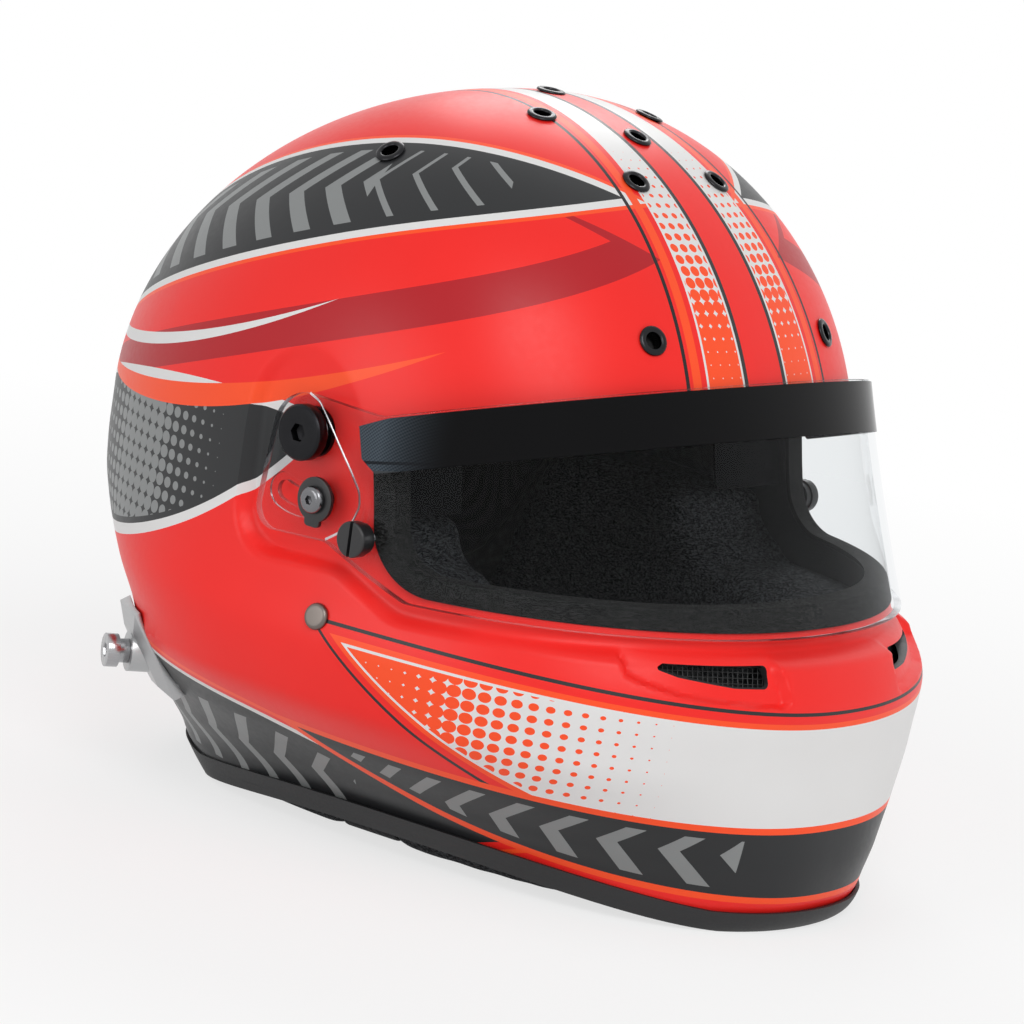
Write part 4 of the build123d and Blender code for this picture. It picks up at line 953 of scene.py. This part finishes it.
def strip_finish():
    """Gloss black film that fades at its rear ends into a fine grey carbon weave."""
    material, tree, shader = new_material("Sun Strip Film")
    x, y, z = place_fields(tree)
    check = ((x + y + z) * (1 / 1.3)).part().over(0.5) + ((y * -1.0 + z) * (1 / 1.3)).part().over(0.5) * 0.6
    fade = ((y + 66.0) * (1 / 26.0)).least(1.0).most(0.0)
    grey = blend_colour(tree, check * 0.55, (0.03, 0.042, 0.055), (0.08, 0.1, 0.12))
    film = blend_colour(tree, fade * fade * 0.95, (0.003, 0.003, 0.0035), grey)
    foot = z + y * 0.1915 - 137.0
    film = blend_colour(tree, bar(foot, 3.2, 4.3) * fade * 0.8, film, (0.004, 0.004, 0.005))
    film = blend_colour(tree, foot.under(0.9), film, (0.05, 0.055, 0.06))
    grain = use_effect(tree, satin_grain(), Scale=60.0, Smooth=0.08, Rough=0.15)
    feed_all(tree, shader, Base_Color=film, Roughness=grain.outputs["Roughness"], Specular_IOR_Level=0.08)
    return material


FINISHES = {
    "gasket_rubber": lambda: fabric_finish("Gasket Felt", (0.001, 0.001, 0.001), (0.036, 0.0355, 0.035), 1350, 0.1),
    "trim_rubber": lambda: plain_finish("Trim Rubber", (0.012, 0.012, 0.013), 0.5, 0.64, scale=1100, depth=0.04),
    "black_eyelet": lambda: metal_finish("Black Eyelet", (0.03, 0.03, 0.032), 0.16, 0.3),
    "heather_fabric": lambda: fabric_finish(
        "Heather Padding", (0.002, 0.002, 0.0025), (0.075, 0.078, 0.084), 1200, 0.12
    ),
    "liner_fabric": lambda: woven_finish("Crown Fabric", (0.004, 0.004, 0.0045), (0.022, 0.022, 0.024), 900.0, 0.05),
    "lining_edge": lambda: fabric_finish("Lining Edge", (0.001, 0.001, 0.0012), (0.012, 0.012, 0.0135), 1500, 0.1),
    "impact_foam": foam_finish,
    "strap_webbing": lambda: woven_finish("Strap Webbing", (0.006, 0.006, 0.007), (0.04, 0.04, 0.042), 620.0, 0.15),
    "gunmetal": lambda: metal_finish("Gunmetal", (0.2, 0.2, 0.21), 0.16, 0.3),
    "ring_steel": lambda: metal_finish("Ring Steel", (0.3, 0.3, 0.31), 0.28, 0.42),
    "black_aluminium": lambda: metal_finish("Black Aluminium", (0.022, 0.022, 0.024), 0.28, 0.42),
    "insert_steel": lambda: metal_finish("Insert Steel", (0.55, 0.55, 0.56), 0.25, 0.4),
    "black_nylon": lambda: plain_finish("Black Nylon", (0.012, 0.012, 0.013), 0.3, 0.42, scale=800, depth=0.015),
    "bright_steel": lambda: metal_finish("Bright Steel", (0.42, 0.42, 0.43), 0.16, 0.3),
    "vent_mesh": lambda: plain_finish("Vent Mesh", (0.03, 0.03, 0.031), 0.3, 0.42, scale=900, depth=0.01),
    "nickel_rivet": lambda: metal_finish("Rivet Nickel", (0.19, 0.165, 0.15), 0.3, 0.45),
    "bare_aluminium": lambda: metal_finish("Bare Aluminium", (0.47, 0.475, 0.48), 0.28, 0.42),
}


def finish(slot):
    """Material of a record slot, made once."""
    made = bpy.data.materials.get(MADE.get(slot, ""))
    if made is None:
        made = FINISHES[slot]()
        MADE[slot] = made.name
    return made


MADE = {}
BODY_OF = {node: body for body, nodes in frame["record"]["behaviour"]["bodies"].items() for node in nodes}


# ---------------------------------------------------------------- carried-over forms
def welded(piece):
    """Joins the split vertices of a copied CAD mesh."""
    mesh = bmesh.new()
    mesh.from_mesh(piece.data)
    bmesh.ops.remove_doubles(mesh, verts=mesh.verts, dist=2e-6)
    bmesh.ops.dissolve_degenerate(mesh, edges=mesh.edges, dist=1e-6)
    mesh.to_mesh(piece.data)
    mesh.free()
    for name in [a.name for a in piece.data.attributes if a.name == "custom_normal"]:
        piece.data.attributes.remove(piece.data.attributes[name])
    return piece


def refined(node, slot, width, segments=2, angle=28.0):
    """Rigid piece from a CAD node with its edges softened."""
    piece = welded(copy_of(node, node + "_piece"))
    if width:
        soft_edges(piece, width, segments, angle)
        settled(piece)
    piece.data.shade_smooth()
    piece.data.set_sharp_from_angle(angle=math.radians(32))
    return dress(piece, finish(slot), BODY_OF[node], slot, node)


def make_hardware(settings):
    """Screws, washers, bushes, inserts, posts, rivets and anchors on both sides."""
    rows = (
        ("pivot_bush", "black_aluminium", 0.2), ("pivot_screw", "black_aluminium", 0.35),
        ("pivot_insert", "insert_steel", 0.2), ("detent_washer", "black_nylon", 0.35),
        ("detent_screw", "bright_steel", 0.25), ("detent_insert", "insert_steel", 0.2),
        ("tear_off_post", "black_nylon", 0.3), ("strap_rivet", "nickel_rivet", 0.2),
        ("strap_washer", "insert_steel", 0.25), ("tether_plate", "bare_aluminium", 0.3),
        ("tether_post", "bright_steel", 0.25), ("tether_insert", "insert_steel", 0.2),
    )
    for stem, slot, width in rows:
        for hand in ("left", "right"):
            piece = refined(f"{stem}_{hand}", slot, width)
            if stem == "detent_screw":
                piece.data.materials[0] = finish("gunmetal")
    for hand in ("left", "right"):
        woven_screen(f"chin_vent_mesh_{hand}", settings.wire_pitch / MM, settings.wire_width / MM / 2)


WIRE_BORDER = 0.5


def woven_screen(node, pitch, half):
    """Fine wire screen inside the outline of a flat CAD node."""
    spots = co_of(frame["nodes"][node].data) / MM
    middle = spots.mean(0)
    turn = np.linalg.svd(spots - middle, full_matrices=False)[2]
    flat = (spots - middle) @ turn.T
    hull = [Vector(p) for p in flat[:, :2]]
    hull = np.array([hull[i] for i in convex_hull_2d(hull)])
    points, faces = [], []
    for axis in (0, 1):
        other = 1 - axis
        low, high = hull[:, axis].min() + WIRE_BORDER, hull[:, axis].max() - WIRE_BORDER
        count = max(2, round((high - low) / pitch))
        for k in range(count + 1):
            at = low + (high - low) * k / count
            ends = []
            for a, b in zip(hull, np.roll(hull, -1, axis=0)):
                if (a[axis] - at) * (b[axis] - at) < 0:
                    share = (at - a[axis]) / (b[axis] - a[axis])
                    ends.append(a[other] + share * (b[other] - a[other]))
            if len(ends) < 2 or max(ends) - min(ends) < 4 * WIRE_BORDER:
                continue
            start, end = min(ends) + WIRE_BORDER / 2, max(ends) - WIRE_BORDER / 2
            pieces = max(2, int((end - start) / (pitch / 2)))
            base = len(points)
            for j in range(pieces + 1):
                run = start + (end - start) * j / pieces
                wave = half * 0.7 * math.cos(math.pi * run / pitch + math.pi * (k + axis))
                for s in range(6):
                    a = 2 * math.pi * s / 6
                    spot = np.zeros(3)
                    spot[axis], spot[other], spot[2] = at + half * math.cos(a), run, wave + half * math.sin(a)
                    points.append(middle + spot @ turn)
            faces += [tuple(base + v for v in f) for f in ring_faces(pieces + 1, 6)]
            faces += [tuple(base + v for v in range(6)), tuple(base + pieces * 6 + v for v in range(6))[::-1]]
    piece = new_piece(node + "_wires", points, faces)
    turn_out(piece)
    return dress(piece, finish("vent_mesh"), BODY_OF[node], "vent_mesh", node)


def lens_normals(points):
    """Outward normals of the visor's curved form at these places."""
    x, y, z = points.T
    reach = lens_front(z)
    ahead = np.maximum(LENS_BEND - y, 0) / reach
    taper = (lens_front(1.0) - lens_front(0.0)) / reach
    out = np.stack([
        np.sign(x) * (np.abs(x) / LENS_HALF) ** (LENS_POWER - 1) / LENS_HALF,
        -(ahead ** (LENS_POWER - 1)) / reach,
        -(ahead**LENS_POWER) * taper,
    ], -1)
    return out / np.linalg.norm(out, axis=1)[:, None]


def even_faces(piece):
    """Shades the lens's faces by its form. Returns 1 for each face of an edge."""
    mesh = piece.data
    count = len(mesh.polygons)
    centre, facing, totals = np.zeros(count * 3), np.zeros(count * 3), np.zeros(count, np.int32)
    mesh.polygons.foreach_get("center", centre)
    mesh.polygons.foreach_get("normal", facing)
    mesh.polygons.foreach_get("loop_total", totals)
    facing = facing.reshape(-1, 3)
    lean = (lens_normals(centre.reshape(-1, 3) / MM) * facing).sum(1)
    corners, spots = np.zeros(len(mesh.loops) * 3), np.zeros(len(mesh.loops), np.int32)
    mesh.corner_normals.foreach_get("vector", corners)
    mesh.loops.foreach_get("vertex_index", spots)
    smooth = lens_normals(co_of(mesh)[spots] / MM) * np.repeat(np.sign(lean), totals)[:, None]
    corners = np.where(np.repeat(np.abs(lean) > 0.97, totals)[:, None], smooth, corners.reshape(-1, 3))
    mesh.normals_split_custom_set(corners.tolist())
    return (np.abs(lean) < 0.75).astype(np.int32)


def make_visor(settings):
    """Clear lens with polished edges that carry painted glints, and the sun strip across its brow."""
    piece = welded(copy_of("visor_lens", "visor_lens_piece"))
    soft_edges(piece, 0.45, 2, 40.0)
    settled(piece)
    mesh = piece.data
    mesh.shade_smooth()
    mesh.set_sharp_from_angle(angle=math.radians(30))
    dress(piece, clear_finish(settings), "visor", "clear_lens", "visor_lens")
    mesh.materials.append(edge_glint_finish())
    mesh.polygons.foreach_set("material_index", even_faces(piece))
    mesh.update()
    bead = moulded_line("visor_ear_lines", settings.ear_line_width / MM / 2)
    # the ear lines take the visor edge's material, so they carry its painted glints and painted shade
    dress(bead, bpy.data.materials["Visor Edge Glints"], "visor", "clear_lens")
    strip = welded(copy_of("sun_strip", "sun_strip_piece"))
    strip.data.shade_smooth()
    strip.data.set_sharp_from_angle(angle=math.radians(40))
    even_faces(strip)
    dress(strip, strip_finish(), "visor", "black_film", "sun_strip")


# Raised line round the thick part of the visor's ear, as (y, z)
EAR_LINE = [
    (-4.4, 165.4), (-9.5, 163.4), (-15.4, 157.0), (-20.7, 151.0), (-27.6, 143.4),
    (-33.2, 136.4), (-34.2, 131.5), (-32.0, 125.8), (-26.6, 120.4), (-20.4, 116.4),
]


def moulded_line(name, width):
    """Low rounded bead on both ears of the visor."""
    points, faces = [], []
    line = rounded(EAR_LINE, [0] + [6.0] * (len(EAR_LINE) - 2) + [0], 6)
    steps, rise = 8, 0.28
    for sign in (1, -1):
        start = len(points)
        for k, spot in enumerate(line):
            along = line[min(k + 1, len(line) - 1)] - line[max(k - 1, 0)]
            along /= np.linalg.norm(along)
            over = np.array([-along[1], along[0]])
            fade = min(1.0, k / 3.0, (len(line) - 1 - k) / 3.0)
            for j in range(steps):
                a = math.pi * j / (steps - 1)
                flat = spot + over * math.cos(a) * width
                ahead = max(LENS_BEND - flat[0], 0) / lens_front(flat[1])
                flat_x = LENS_HALF * max(1 - ahead**LENS_POWER, 0) ** (1 / LENS_POWER)
                points.append((sign * (flat_x - 0.05 + math.sin(a) * rise * fade), flat[0], flat[1]))
        faces += [tuple(start + v for v in f) for f in ring_faces(len(line), steps, False)]
    piece = new_piece(name, points, faces)
    turn_out(piece)
    return piece


def make_rim():
    """Eyeport gasket, the lining's edge and the rubber trim round the base."""
    refined("eyeport_gasket", "gasket_rubber", 0.9, 3, 40.0)
    refined("base_trim", "trim_rubber", 0.7, 3, 40.0)
    refined("port_lining", "lining_edge", 0.4, 2, 40.0)


# Rolled ring as (radius, height over the shell)
EYELET_PROFILE = [
    (3.0, -4.0), (3.0, 0.5), (3.1, 0.95), (3.45, 1.25), (4.0, 1.3), (4.7, 1.2),
    (5.25, 0.95), (5.5, 0.6), (5.45, 0.35), (5.1, 0.25), (4.05, 0.25), (4.05, -4.0),
]


def make_eyelets():
    """Rolled vent eyelets, one piece for the brow and one for the crown."""
    for node, shares in (("brow_eyelets", EYELETS_BROW), ("crown_eyelets", EYELETS_CROWN)):
        rings = []
        for a, b in shares:
            for sign in (1, -1) if a else (1,):
                spot, normal = dome_place(a * HALF * sign, b * REAR)
                rings.append(lathe("ring", EYELET_PROFILE, spot, normal, 56))
        with bpy.context.temp_override(active_object=rings[0], selected_editable_objects=rings, selected_objects=rings):
            bpy.ops.object.join()
        rings[0].name = rings[0].data.name = node + "_rolled"
        dress(rings[0], finish("black_eyelet"), "helmet", "black_eyelet", node)


# ---------------------------------------------------------------- padding
def remeshed(node, name, voxel):
    piece = welded(copy_of(node, name))
    grid = piece.modifiers.new("grid", "REMESH")
    grid.mode, grid.voxel_size, grid.adaptivity = "VOXEL", voxel * MM, 0.0
    settled(piece)
    even = piece.modifiers.new("even", "SMOOTH")
    even.factor, even.iterations = 0.5, 6
    settled(piece)
    return piece


def co_of(mesh):
    co = np.zeros(len(mesh.vertices) * 3)
    mesh.vertices.foreach_get("co", co)
    return co.reshape(-1, 3)


def normals_of(mesh):
    values = np.zeros(len(mesh.vertices) * 3)
    mesh.vertex_normals.foreach_get("vector", values)
    return values.reshape(-1, 3)


def blown(piece, pressure, cap):
    """Lets cloth under pressure swell the piece, and caps how far each point moves."""
    rest = co_of(piece.data)
    cloth = piece.modifiers.new("cloth", "CLOTH")
    cloth.settings.use_pressure = True
    cloth.settings.uniform_pressure_force = pressure
    cloth.settings.effector_weights.gravity = 0
    cloth.settings.quality = 4
    scene = bpy.context.scene
    for number in range(1, 21):
        scene.frame_set(number)
    graph = bpy.context.evaluated_depsgraph_get()
    moved = co_of(piece.evaluated_get(graph).data)
    piece.modifiers.clear()
    scene.frame_set(1)
    step = moved - rest
    size = np.linalg.norm(step, axis=1)
    step *= np.minimum(1, cap * MM / np.maximum(size, 1e-9))[:, None]
    return rest, step


def cushioned(node, slot, voxel, cap, seams=None):
    """Padded fabric piece from a soft CAD node: swollen on its free side, with sewn seams."""
    piece = remeshed(node, node + "_sewn", voxel)
    mesh = piece.data
    if not cap:
        rest, step = co_of(mesh), normals_of(mesh) * (cap or 0) * 0.4 * MM
    else:
        rest, step = blown(piece, 4.0, cap)
    x, y, z = (rest / MM).T
    wall = fullness(x, y, np.clip(z, 1, HEIGHT - 1))
    free = ease((0.93 - wall) / 0.12)[:, None] * ease((z - 6) / 10)[:, None]
    mesh.vertices.foreach_set("co", (rest + step * free).ravel())
    finer = piece.modifiers.new("finer", "SUBSURF")
    finer.levels = finer.render_levels = 1
    settled(piece)
    mesh = piece.data
    if seams is not None:
        co, normal = co_of(mesh), normals_of(mesh)
        depth = seams(*(co / MM).T)
        mesh.vertices.foreach_set("co", (co - normal * depth[:, None] * MM).ravel())
    mesh.update()
    mesh.shade_smooth()
    dress(piece, finish(slot), BODY_OF[node], slot, node)
    return piece


def groove(distance, width, depth):
    return depth * np.exp(-((distance / width) ** 2))


def make_padding():
    """Cheek pads, crown liner, neck roll and foams."""

    def cheek_seams(x, y, z):
        edge = np.abs(x) - (64 * np.sqrt(np.maximum(1 - ((y - 5) / 135) ** 2, 0)))
        face = edge < 7
        outline = np.minimum.reduce([np.abs(y + 98 - 0.2 * (z - 60)), np.abs(z - 92 - 0.14 * (y + 60)), np.abs(y - 52)])
        ring = groove(outline, 1.5, 1.3) * (z > 14)
        return np.where(face, ring, 0) + groove(edge - 9, 1.3, 0.9)

    def crown_seams(x, y, z):
        return groove(np.abs(x) - 34, 1.6, 1.4) + groove(y - 24 - 0.1 * np.abs(x), 1.6, 1.2) * (np.abs(x) < 34)

    def neck_seams(x, y, z):
        return groove(z - 26, 1.6, 1.3) + groove(np.abs(x) - 46, 1.6, 1.0)

    cushioned("cheek_pad_left", "heather_fabric", 3.2, 2.4, cheek_seams)
    cushioned("cheek_pad_right", "heather_fabric", 3.2, 2.4, cheek_seams)
    cushioned("crown_liner", "liner_fabric", 3.4, 2.0, crown_seams)
    cushioned("neck_roll", "heather_fabric", 3.4, 2.4, neck_seams)
    cushioned("chin_bar_foam", "impact_foam", 3.0, 0, None)
    cushioned("eps_liner", "impact_foam", 3.6, 0, None)


# ---------------------------------------------------------------- straps
RIVET = np.array([128.62, -24.29, 89.7])
STRAP_TURN = math.atan2(-0.1006, 0.9736)
STRAP_WIDTH, STRAP_THICK = 24.0, 1.6
STRAP_SHARES = [0.0339, 0.0458, 0.0683, 0.1033, 0.1402, 0.1771, 0.214, 0.2509, 0.2878, 0.3247, 0.3506]
STRAP_HEIGHTS = np.array(STRAP_SHARES) * HEIGHT
STRAP_EASE, STRAP_GAP, STRAP_FOOT, STRAP_TAIL, STRAP_TAIL_X = 3.0, 1.0, 3.2, 62.0, 58.34


def strap_route():
    """Path of the strap's middle in its own plane, as (depth from the rivet, height)."""
    heights = [*STRAP_HEIGHTS, RIVET[2] + 12.0]
    off = RIVET[0] + WALL + STRAP_GAP + STRAP_THICK / 2
    depths = [off - float(side_place(RIVET[1], h)) + (STRAP_EASE if i < 3 else 0) for i, h in enumerate(heights)]
    tail = RIVET[0] - STRAP_TAIL_X
    return [(tail, STRAP_TAIL), (tail, STRAP_FOOT), (depths[0] + STRAP_THICK, STRAP_FOOT), *zip(depths, heights)]


def make_straps():
    """Webbing halves of the chin strap and the two rings."""
    route = rounded(strap_route(), [0, 3.0, 3.5] + [5.0] * (len(STRAP_HEIGHTS)) + [0], 6)
    spots = [route[0]]
    for a, b in zip(route[:-1], route[1:]):
        count = max(1, int(np.linalg.norm(b - a) / 3.0))
        spots += [a + (b - a) * (k + 1) / count for k in range(count)]
    spots = np.array(spots)
    tangent = np.gradient(spots, axis=0)
    tangent /= np.linalg.norm(tangent, axis=1)[:, None]
    normal = np.stack([-tangent[:, 1], tangent[:, 0]], -1)
    inward = np.array([-math.cos(STRAP_TURN), -math.sin(STRAP_TURN), 0])
    across = np.array([-math.sin(STRAP_TURN), math.cos(STRAP_TURN), 0])
    profile = []
    for k in range(24):
        a = 2 * math.pi * k / 24
        c, s = math.cos(a), math.sin(a)
        wide = math.copysign(abs(c) ** 0.16, c) * STRAP_WIDTH / 2
        profile.append((wide, math.copysign(abs(s) ** 0.5, s) * STRAP_THICK / 2))
    for hand, sign in (("left", 1), ("right", -1)):
        points = []
        for spot, n in zip(spots, normal):
            for wide, high in profile:
                x, y, z = inward * (spot[0] + n[0] * high) + across * wide
                points.append(((RIVET[0] + x) * sign, RIVET[1] + y, spot[1] + n[1] * high + z))
        rows, columns = len(spots), len(profile)
        faces = ring_faces(rows, columns)
        faces += [tuple(range(columns)), tuple(range((rows - 1) * columns, rows * columns))[::-1]]
        piece = new_piece(f"chin_strap_{hand}_webbing", points, faces)
        turn_out(piece)
        piece.data.set_sharp_from_angle(angle=math.radians(60))
        dress(piece, finish("strap_webbing"), "helmet", "strap_webbing", f"chin_strap_{hand}")
        if hand == "left":
            loop = welded(copy_of("chin_strap_left", "strap_loop"))
            bin_loop(loop)
            dress(loop, finish("strap_webbing"), "helmet", "strap_webbing")
    refined("d_rings", "ring_steel", 0.0)


def bin_loop(piece):
    """Keeps only the stitched loop at the top of the left strap's CAD mesh."""
    mesh = bmesh.new()
    mesh.from_mesh(piece.data)
    low = (STRAP_TAIL - 8.5) * MM
    everything = mesh.verts[:] + mesh.edges[:] + mesh.faces[:]
    bmesh.ops.bisect_plane(mesh, geom=everything, plane_co=(0, 0, low), plane_no=(0, 0, -1), clear_outer=True)
    away = [v for v in mesh.verts if v.co.x > 0.08]
    bmesh.ops.delete(mesh, geom=away, context="VERTS")
    edges = [e for e in mesh.edges if e.is_boundary]
    bmesh.ops.holes_fill(mesh, edges=edges, sides=0)
    mesh.to_mesh(piece.data)
    mesh.free()
    piece.data.shade_smooth()
    piece.data.set_sharp_from_angle(angle=math.radians(35))


# ---------------------------------------------------------------- stage
def shown_rays(tree):
    """1 for the rays that show the background: straight, mirrored and through glass."""
    path = tree.nodes.new("ShaderNodeLightPath")
    kinds = [Field(tree, path.outputs[f"Is {kind} Ray"]) for kind in ("Camera", "Glossy", "Transmission")]
    return kinds[0].most(*kinds[1:])


FLOOR_REACH, FLOOR_DROP = 3200.0, -0.2
SHADOW_REACH, SHADOW_FADE = 260.0, 560.0


def floor_finish():
    """White floor that keeps the object's shadow close in and runs out to plain white."""
    material, tree, shader = new_material("Studio Floor")
    x, y, _ = place_fields(tree)
    away = (x * x + y * y).op("SQRT")
    far = ((away - SHADOW_REACH) * (1 / SHADOW_FADE)).least(1.0).most(0.0)
    feed_all(tree, shader, Base_Color=(0.86, 0.86, 0.86, 1), Roughness=0.9, Specular_IOR_Level=0.0)
    white = new_node(tree, "ShaderNodeEmission", Color=(1, 1, 1, 1), Strength=1.0)
    mix_shaders(tree, shown_rays(tree) * (far * 0.3 + 0.7), shader, white)
    return material


VIEW_LENS, VIEW_SENSOR, VIEW_PLACE = 145.93, 36.0, (-1184.4, -967.2, 419.6)
VIEW_RIGHT, VIEW_UP, VIEW_BACK = (0.6479, -0.7491, 0.1384), (0.0612, 0.2323, 0.9707), (-0.7593, -0.6204, 0.1963)


def make_stage(settings):
    """Wide pale floor, soft lamps, world and the camera of the photographed view."""
    scene = bpy.context.scene
    scene.view_settings.view_transform = "Standard"
    world = bpy.data.worlds.new("Studio")
    scene.world = world
    world.use_nodes = True
    tree = world.node_tree
    tree.nodes.clear()
    tree.nodes.new("ShaderNodeOutputWorld")
    light = new_node(tree, "ShaderNodeBackground", Color=(1, 1, 1, 1), Strength=settings.sky_strength)
    shown = new_node(tree, "ShaderNodeBackground", Color=(1, 1, 1, 1), Strength=1.0)
    mix_shaders(tree, shown_rays(tree), light, shown)

    corners = [(-1, -1), (1, -1), (1, 1), (-1, 1)]
    points = [(a * FLOOR_REACH, b * FLOOR_REACH, FLOOR_DROP) for a, b in corners]
    floor = new_piece("studio_floor", points, [(0, 1, 2, 3)])
    floor.data.materials.append(floor_finish())

    def lamp(name, place, size, power, mirrored=True, target=(0, 0, 130)):
        data = bpy.data.lights.new(name, "AREA")
        data.shape, data.size, data.size_y, data.energy = "RECTANGLE", size[0] * MM, size[1] * MM, power
        piece = bpy.data.objects.new(name, data)
        piece.location = Vector(place) * MM
        piece.rotation_euler = (Vector(place) - Vector(target)).to_track_quat("Z", "Y").to_euler()
        piece.visible_glossy = mirrored
        scene.collection.objects.link(piece)

    power = settings.lamp_power
    lamp("key_softbox", (-900, -1100, 1300), (900, 900), 22 * power)
    lamp("fill_softbox", (-1500, 300, 500), (900, 700), 9 * power)
    lamp("rim_softbox", (900, 700, 1100), (700, 700), 12 * power)
    lamp("front_softbox", (500, -1500, 500), (700, 900), 8 * power, mirrored=False)

    data = bpy.data.cameras.new("view")
    data.lens, data.sensor_width = VIEW_LENS, VIEW_SENSOR
    camera = bpy.data.objects.new("view", data)
    turn = Matrix((VIEW_RIGHT, VIEW_UP, VIEW_BACK)).transposed()
    camera.matrix_world = Matrix.Translation(Vector(VIEW_PLACE) * MM) @ turn.to_4x4()
    data.clip_start, data.clip_end = 0.05, 20
    scene.collection.objects.link(camera)
    scene.camera = camera


# ---------------------------------------------------------------- add-on
def colour(name, description, default):
    """Colour property of the panel."""
    return FloatVectorProperty(
        name=name, description=description, subtype="COLOR", default=default, min=0, max=1
    )


def length(name, description, default, low, high):
    """Length property of the panel, in metres."""
    return FloatProperty(
        name=name, description=description, subtype="DISTANCE", unit="LENGTH", default=default, min=low, max=high
    )


def count(name, description, default, low, high):
    """Whole number property of the panel."""
    return IntProperty(name=name, description=description, default=default, min=low, max=high)


def strength(name, description, default, high):
    """Property of the panel that scales a light."""
    return FloatProperty(name=name, description=description, subtype="FACTOR", default=default, min=0, max=high)


class HelmetFinish(bpy.types.PropertyGroup):
    """Colours of the livery and the visor, and sizes of the finest pieces"""

    shell_colour: colour("Ground", "Colour of the shell's ground", RED)
    shade_colour: colour("Sweeps", "Colour of the darker sweeps", DEEP_RED)
    panel_colour: colour("Panels", "Colour of the dark panels", DARK)
    flash_colour: colour("Flashes", "Colour of the pale flashes", WHITE)
    line_colour: colour("Lines", "Colour of the bright lines and dots", ORANGE)
    motif_colour: colour("Chevrons", "Colour of the chevrons", GREY)
    visor_tint: colour("Visor tint", "Colour that the clear visor lets through", (0.955, 0.962, 0.965))
    ear_line_width: length("Ear line", "Width of the moulded line on the visor's ears", 0.0009, 0.0003, 0.003)
    wire_pitch: length("Wire pitch", "Distance between the wires of the chin vents", 0.0019, 0.001, 0.006)
    wire_width: length("Wire width", "Thickness of those wires", 0.00038, 0.0002, 0.001)
    shell_columns: count("Shell columns", "Points round the shell", 720, 120, 1400)
    shell_rows: count("Shell rows", "Rows from the rim to the belt", 120, 30, 300)


class HelmetStudio(bpy.types.PropertyGroup):
    """Light of the stage"""

    sky_strength: strength("Sky", "Strength of the even light from all round", 0.42, 3)
    lamp_power: strength("Lamps", "Share of the soft lamps' power", 0.55, 5)


class HELMET_OT_shell(bpy.types.Operator):
    """Makes the shell with its recess, vents and livery"""

    bl_idname = "helmet.shell"
    bl_label = "Painted shell"
    bl_options = {"REGISTER", "UNDO"}

    def execute(self, context):
        make_shell(context.scene.helmet_finish)
        return {"FINISHED"}


class HELMET_OT_visor(bpy.types.Operator):
    """Makes the clear lens, its moulded ear lines and its sun strip"""

    bl_idname = "helmet.visor"
    bl_label = "Visor"
    bl_options = {"REGISTER", "UNDO"}

    def execute(self, context):
        make_visor(context.scene.helmet_finish)
        return {"FINISHED"}


class HELMET_OT_rim(bpy.types.Operator):
    """Makes the eyeport gasket, the lining's edge and the base trim"""

    bl_idname = "helmet.rim"
    bl_label = "Gasket and trim"
    bl_options = {"REGISTER", "UNDO"}

    def execute(self, context):
        make_rim()
        return {"FINISHED"}


class HELMET_OT_eyelets(bpy.types.Operator):
    """Makes the rolled eyelets of the brow and crown"""

    bl_idname = "helmet.eyelets"
    bl_label = "Vent eyelets"
    bl_options = {"REGISTER", "UNDO"}

    def execute(self, context):
        make_eyelets()
        return {"FINISHED"}


class HELMET_OT_hardware(bpy.types.Operator):
    """Makes the screws, washers, posts, rivets, anchors and vent screens"""

    bl_idname = "helmet.hardware"
    bl_label = "Hardware"
    bl_options = {"REGISTER", "UNDO"}

    def execute(self, context):
        make_hardware(context.scene.helmet_finish)
        return {"FINISHED"}


class HELMET_OT_padding(bpy.types.Operator):
    """Makes the cheek pads, crown liner, neck roll and foams"""

    bl_idname = "helmet.padding"
    bl_label = "Padding"
    bl_options = {"REGISTER", "UNDO"}

    def execute(self, context):
        make_padding()
        return {"FINISHED"}


class HELMET_OT_straps(bpy.types.Operator):
    """Makes both strap halves and the rings"""

    bl_idname = "helmet.straps"
    bl_label = "Chin strap"
    bl_options = {"REGISTER", "UNDO"}

    def execute(self, context):
        make_straps()
        return {"FINISHED"}


class HELMET_OT_stage(bpy.types.Operator):
    """Makes the floor, lamps, world and camera"""

    bl_idname = "helmet.stage"
    bl_label = "Studio"
    bl_options = {"REGISTER", "UNDO"}

    def execute(self, context):
        make_stage(context.scene.helmet_studio)
        return {"FINISHED"}


OPERATORS = (
    HELMET_OT_shell, HELMET_OT_visor, HELMET_OT_rim, HELMET_OT_eyelets,
    HELMET_OT_hardware, HELMET_OT_padding, HELMET_OT_straps, HELMET_OT_stage,
)


class HELMET_PT_panel(bpy.types.Panel):
    """Lists the helmet's settings and makers"""

    bl_label, bl_idname = "Racing Helmet", "HELMET_PT_panel"
    bl_space_type, bl_region_type, bl_category = "VIEW_3D", "UI", "Helmet"

    def draw(self, context):
        for kind, group in ((HelmetFinish, context.scene.helmet_finish), (HelmetStudio, context.scene.helmet_studio)):
            for name in kind.__annotations__:
                self.layout.prop(group, name)
        for operator in OPERATORS:
            self.layout.operator(operator.bl_idname)


CLASSES = (HelmetFinish, HelmetStudio, *OPERATORS, HELMET_PT_panel)


def register():
    for kind in CLASSES:
        bpy.utils.register_class(kind)
    bpy.types.Scene.helmet_finish = PointerProperty(type=HelmetFinish)
    bpy.types.Scene.helmet_studio = PointerProperty(type=HelmetStudio)


def unregister():
    del bpy.types.Scene.helmet_finish
    del bpy.types.Scene.helmet_studio
    for kind in reversed(CLASSES):
        bpy.utils.unregister_class(kind)


def main():
    register()
    for operator in OPERATORS:
        group, name = operator.bl_idname.split(".")
        getattr(getattr(bpy.ops, group), name)()


if __name__ == "__main__":
    main()
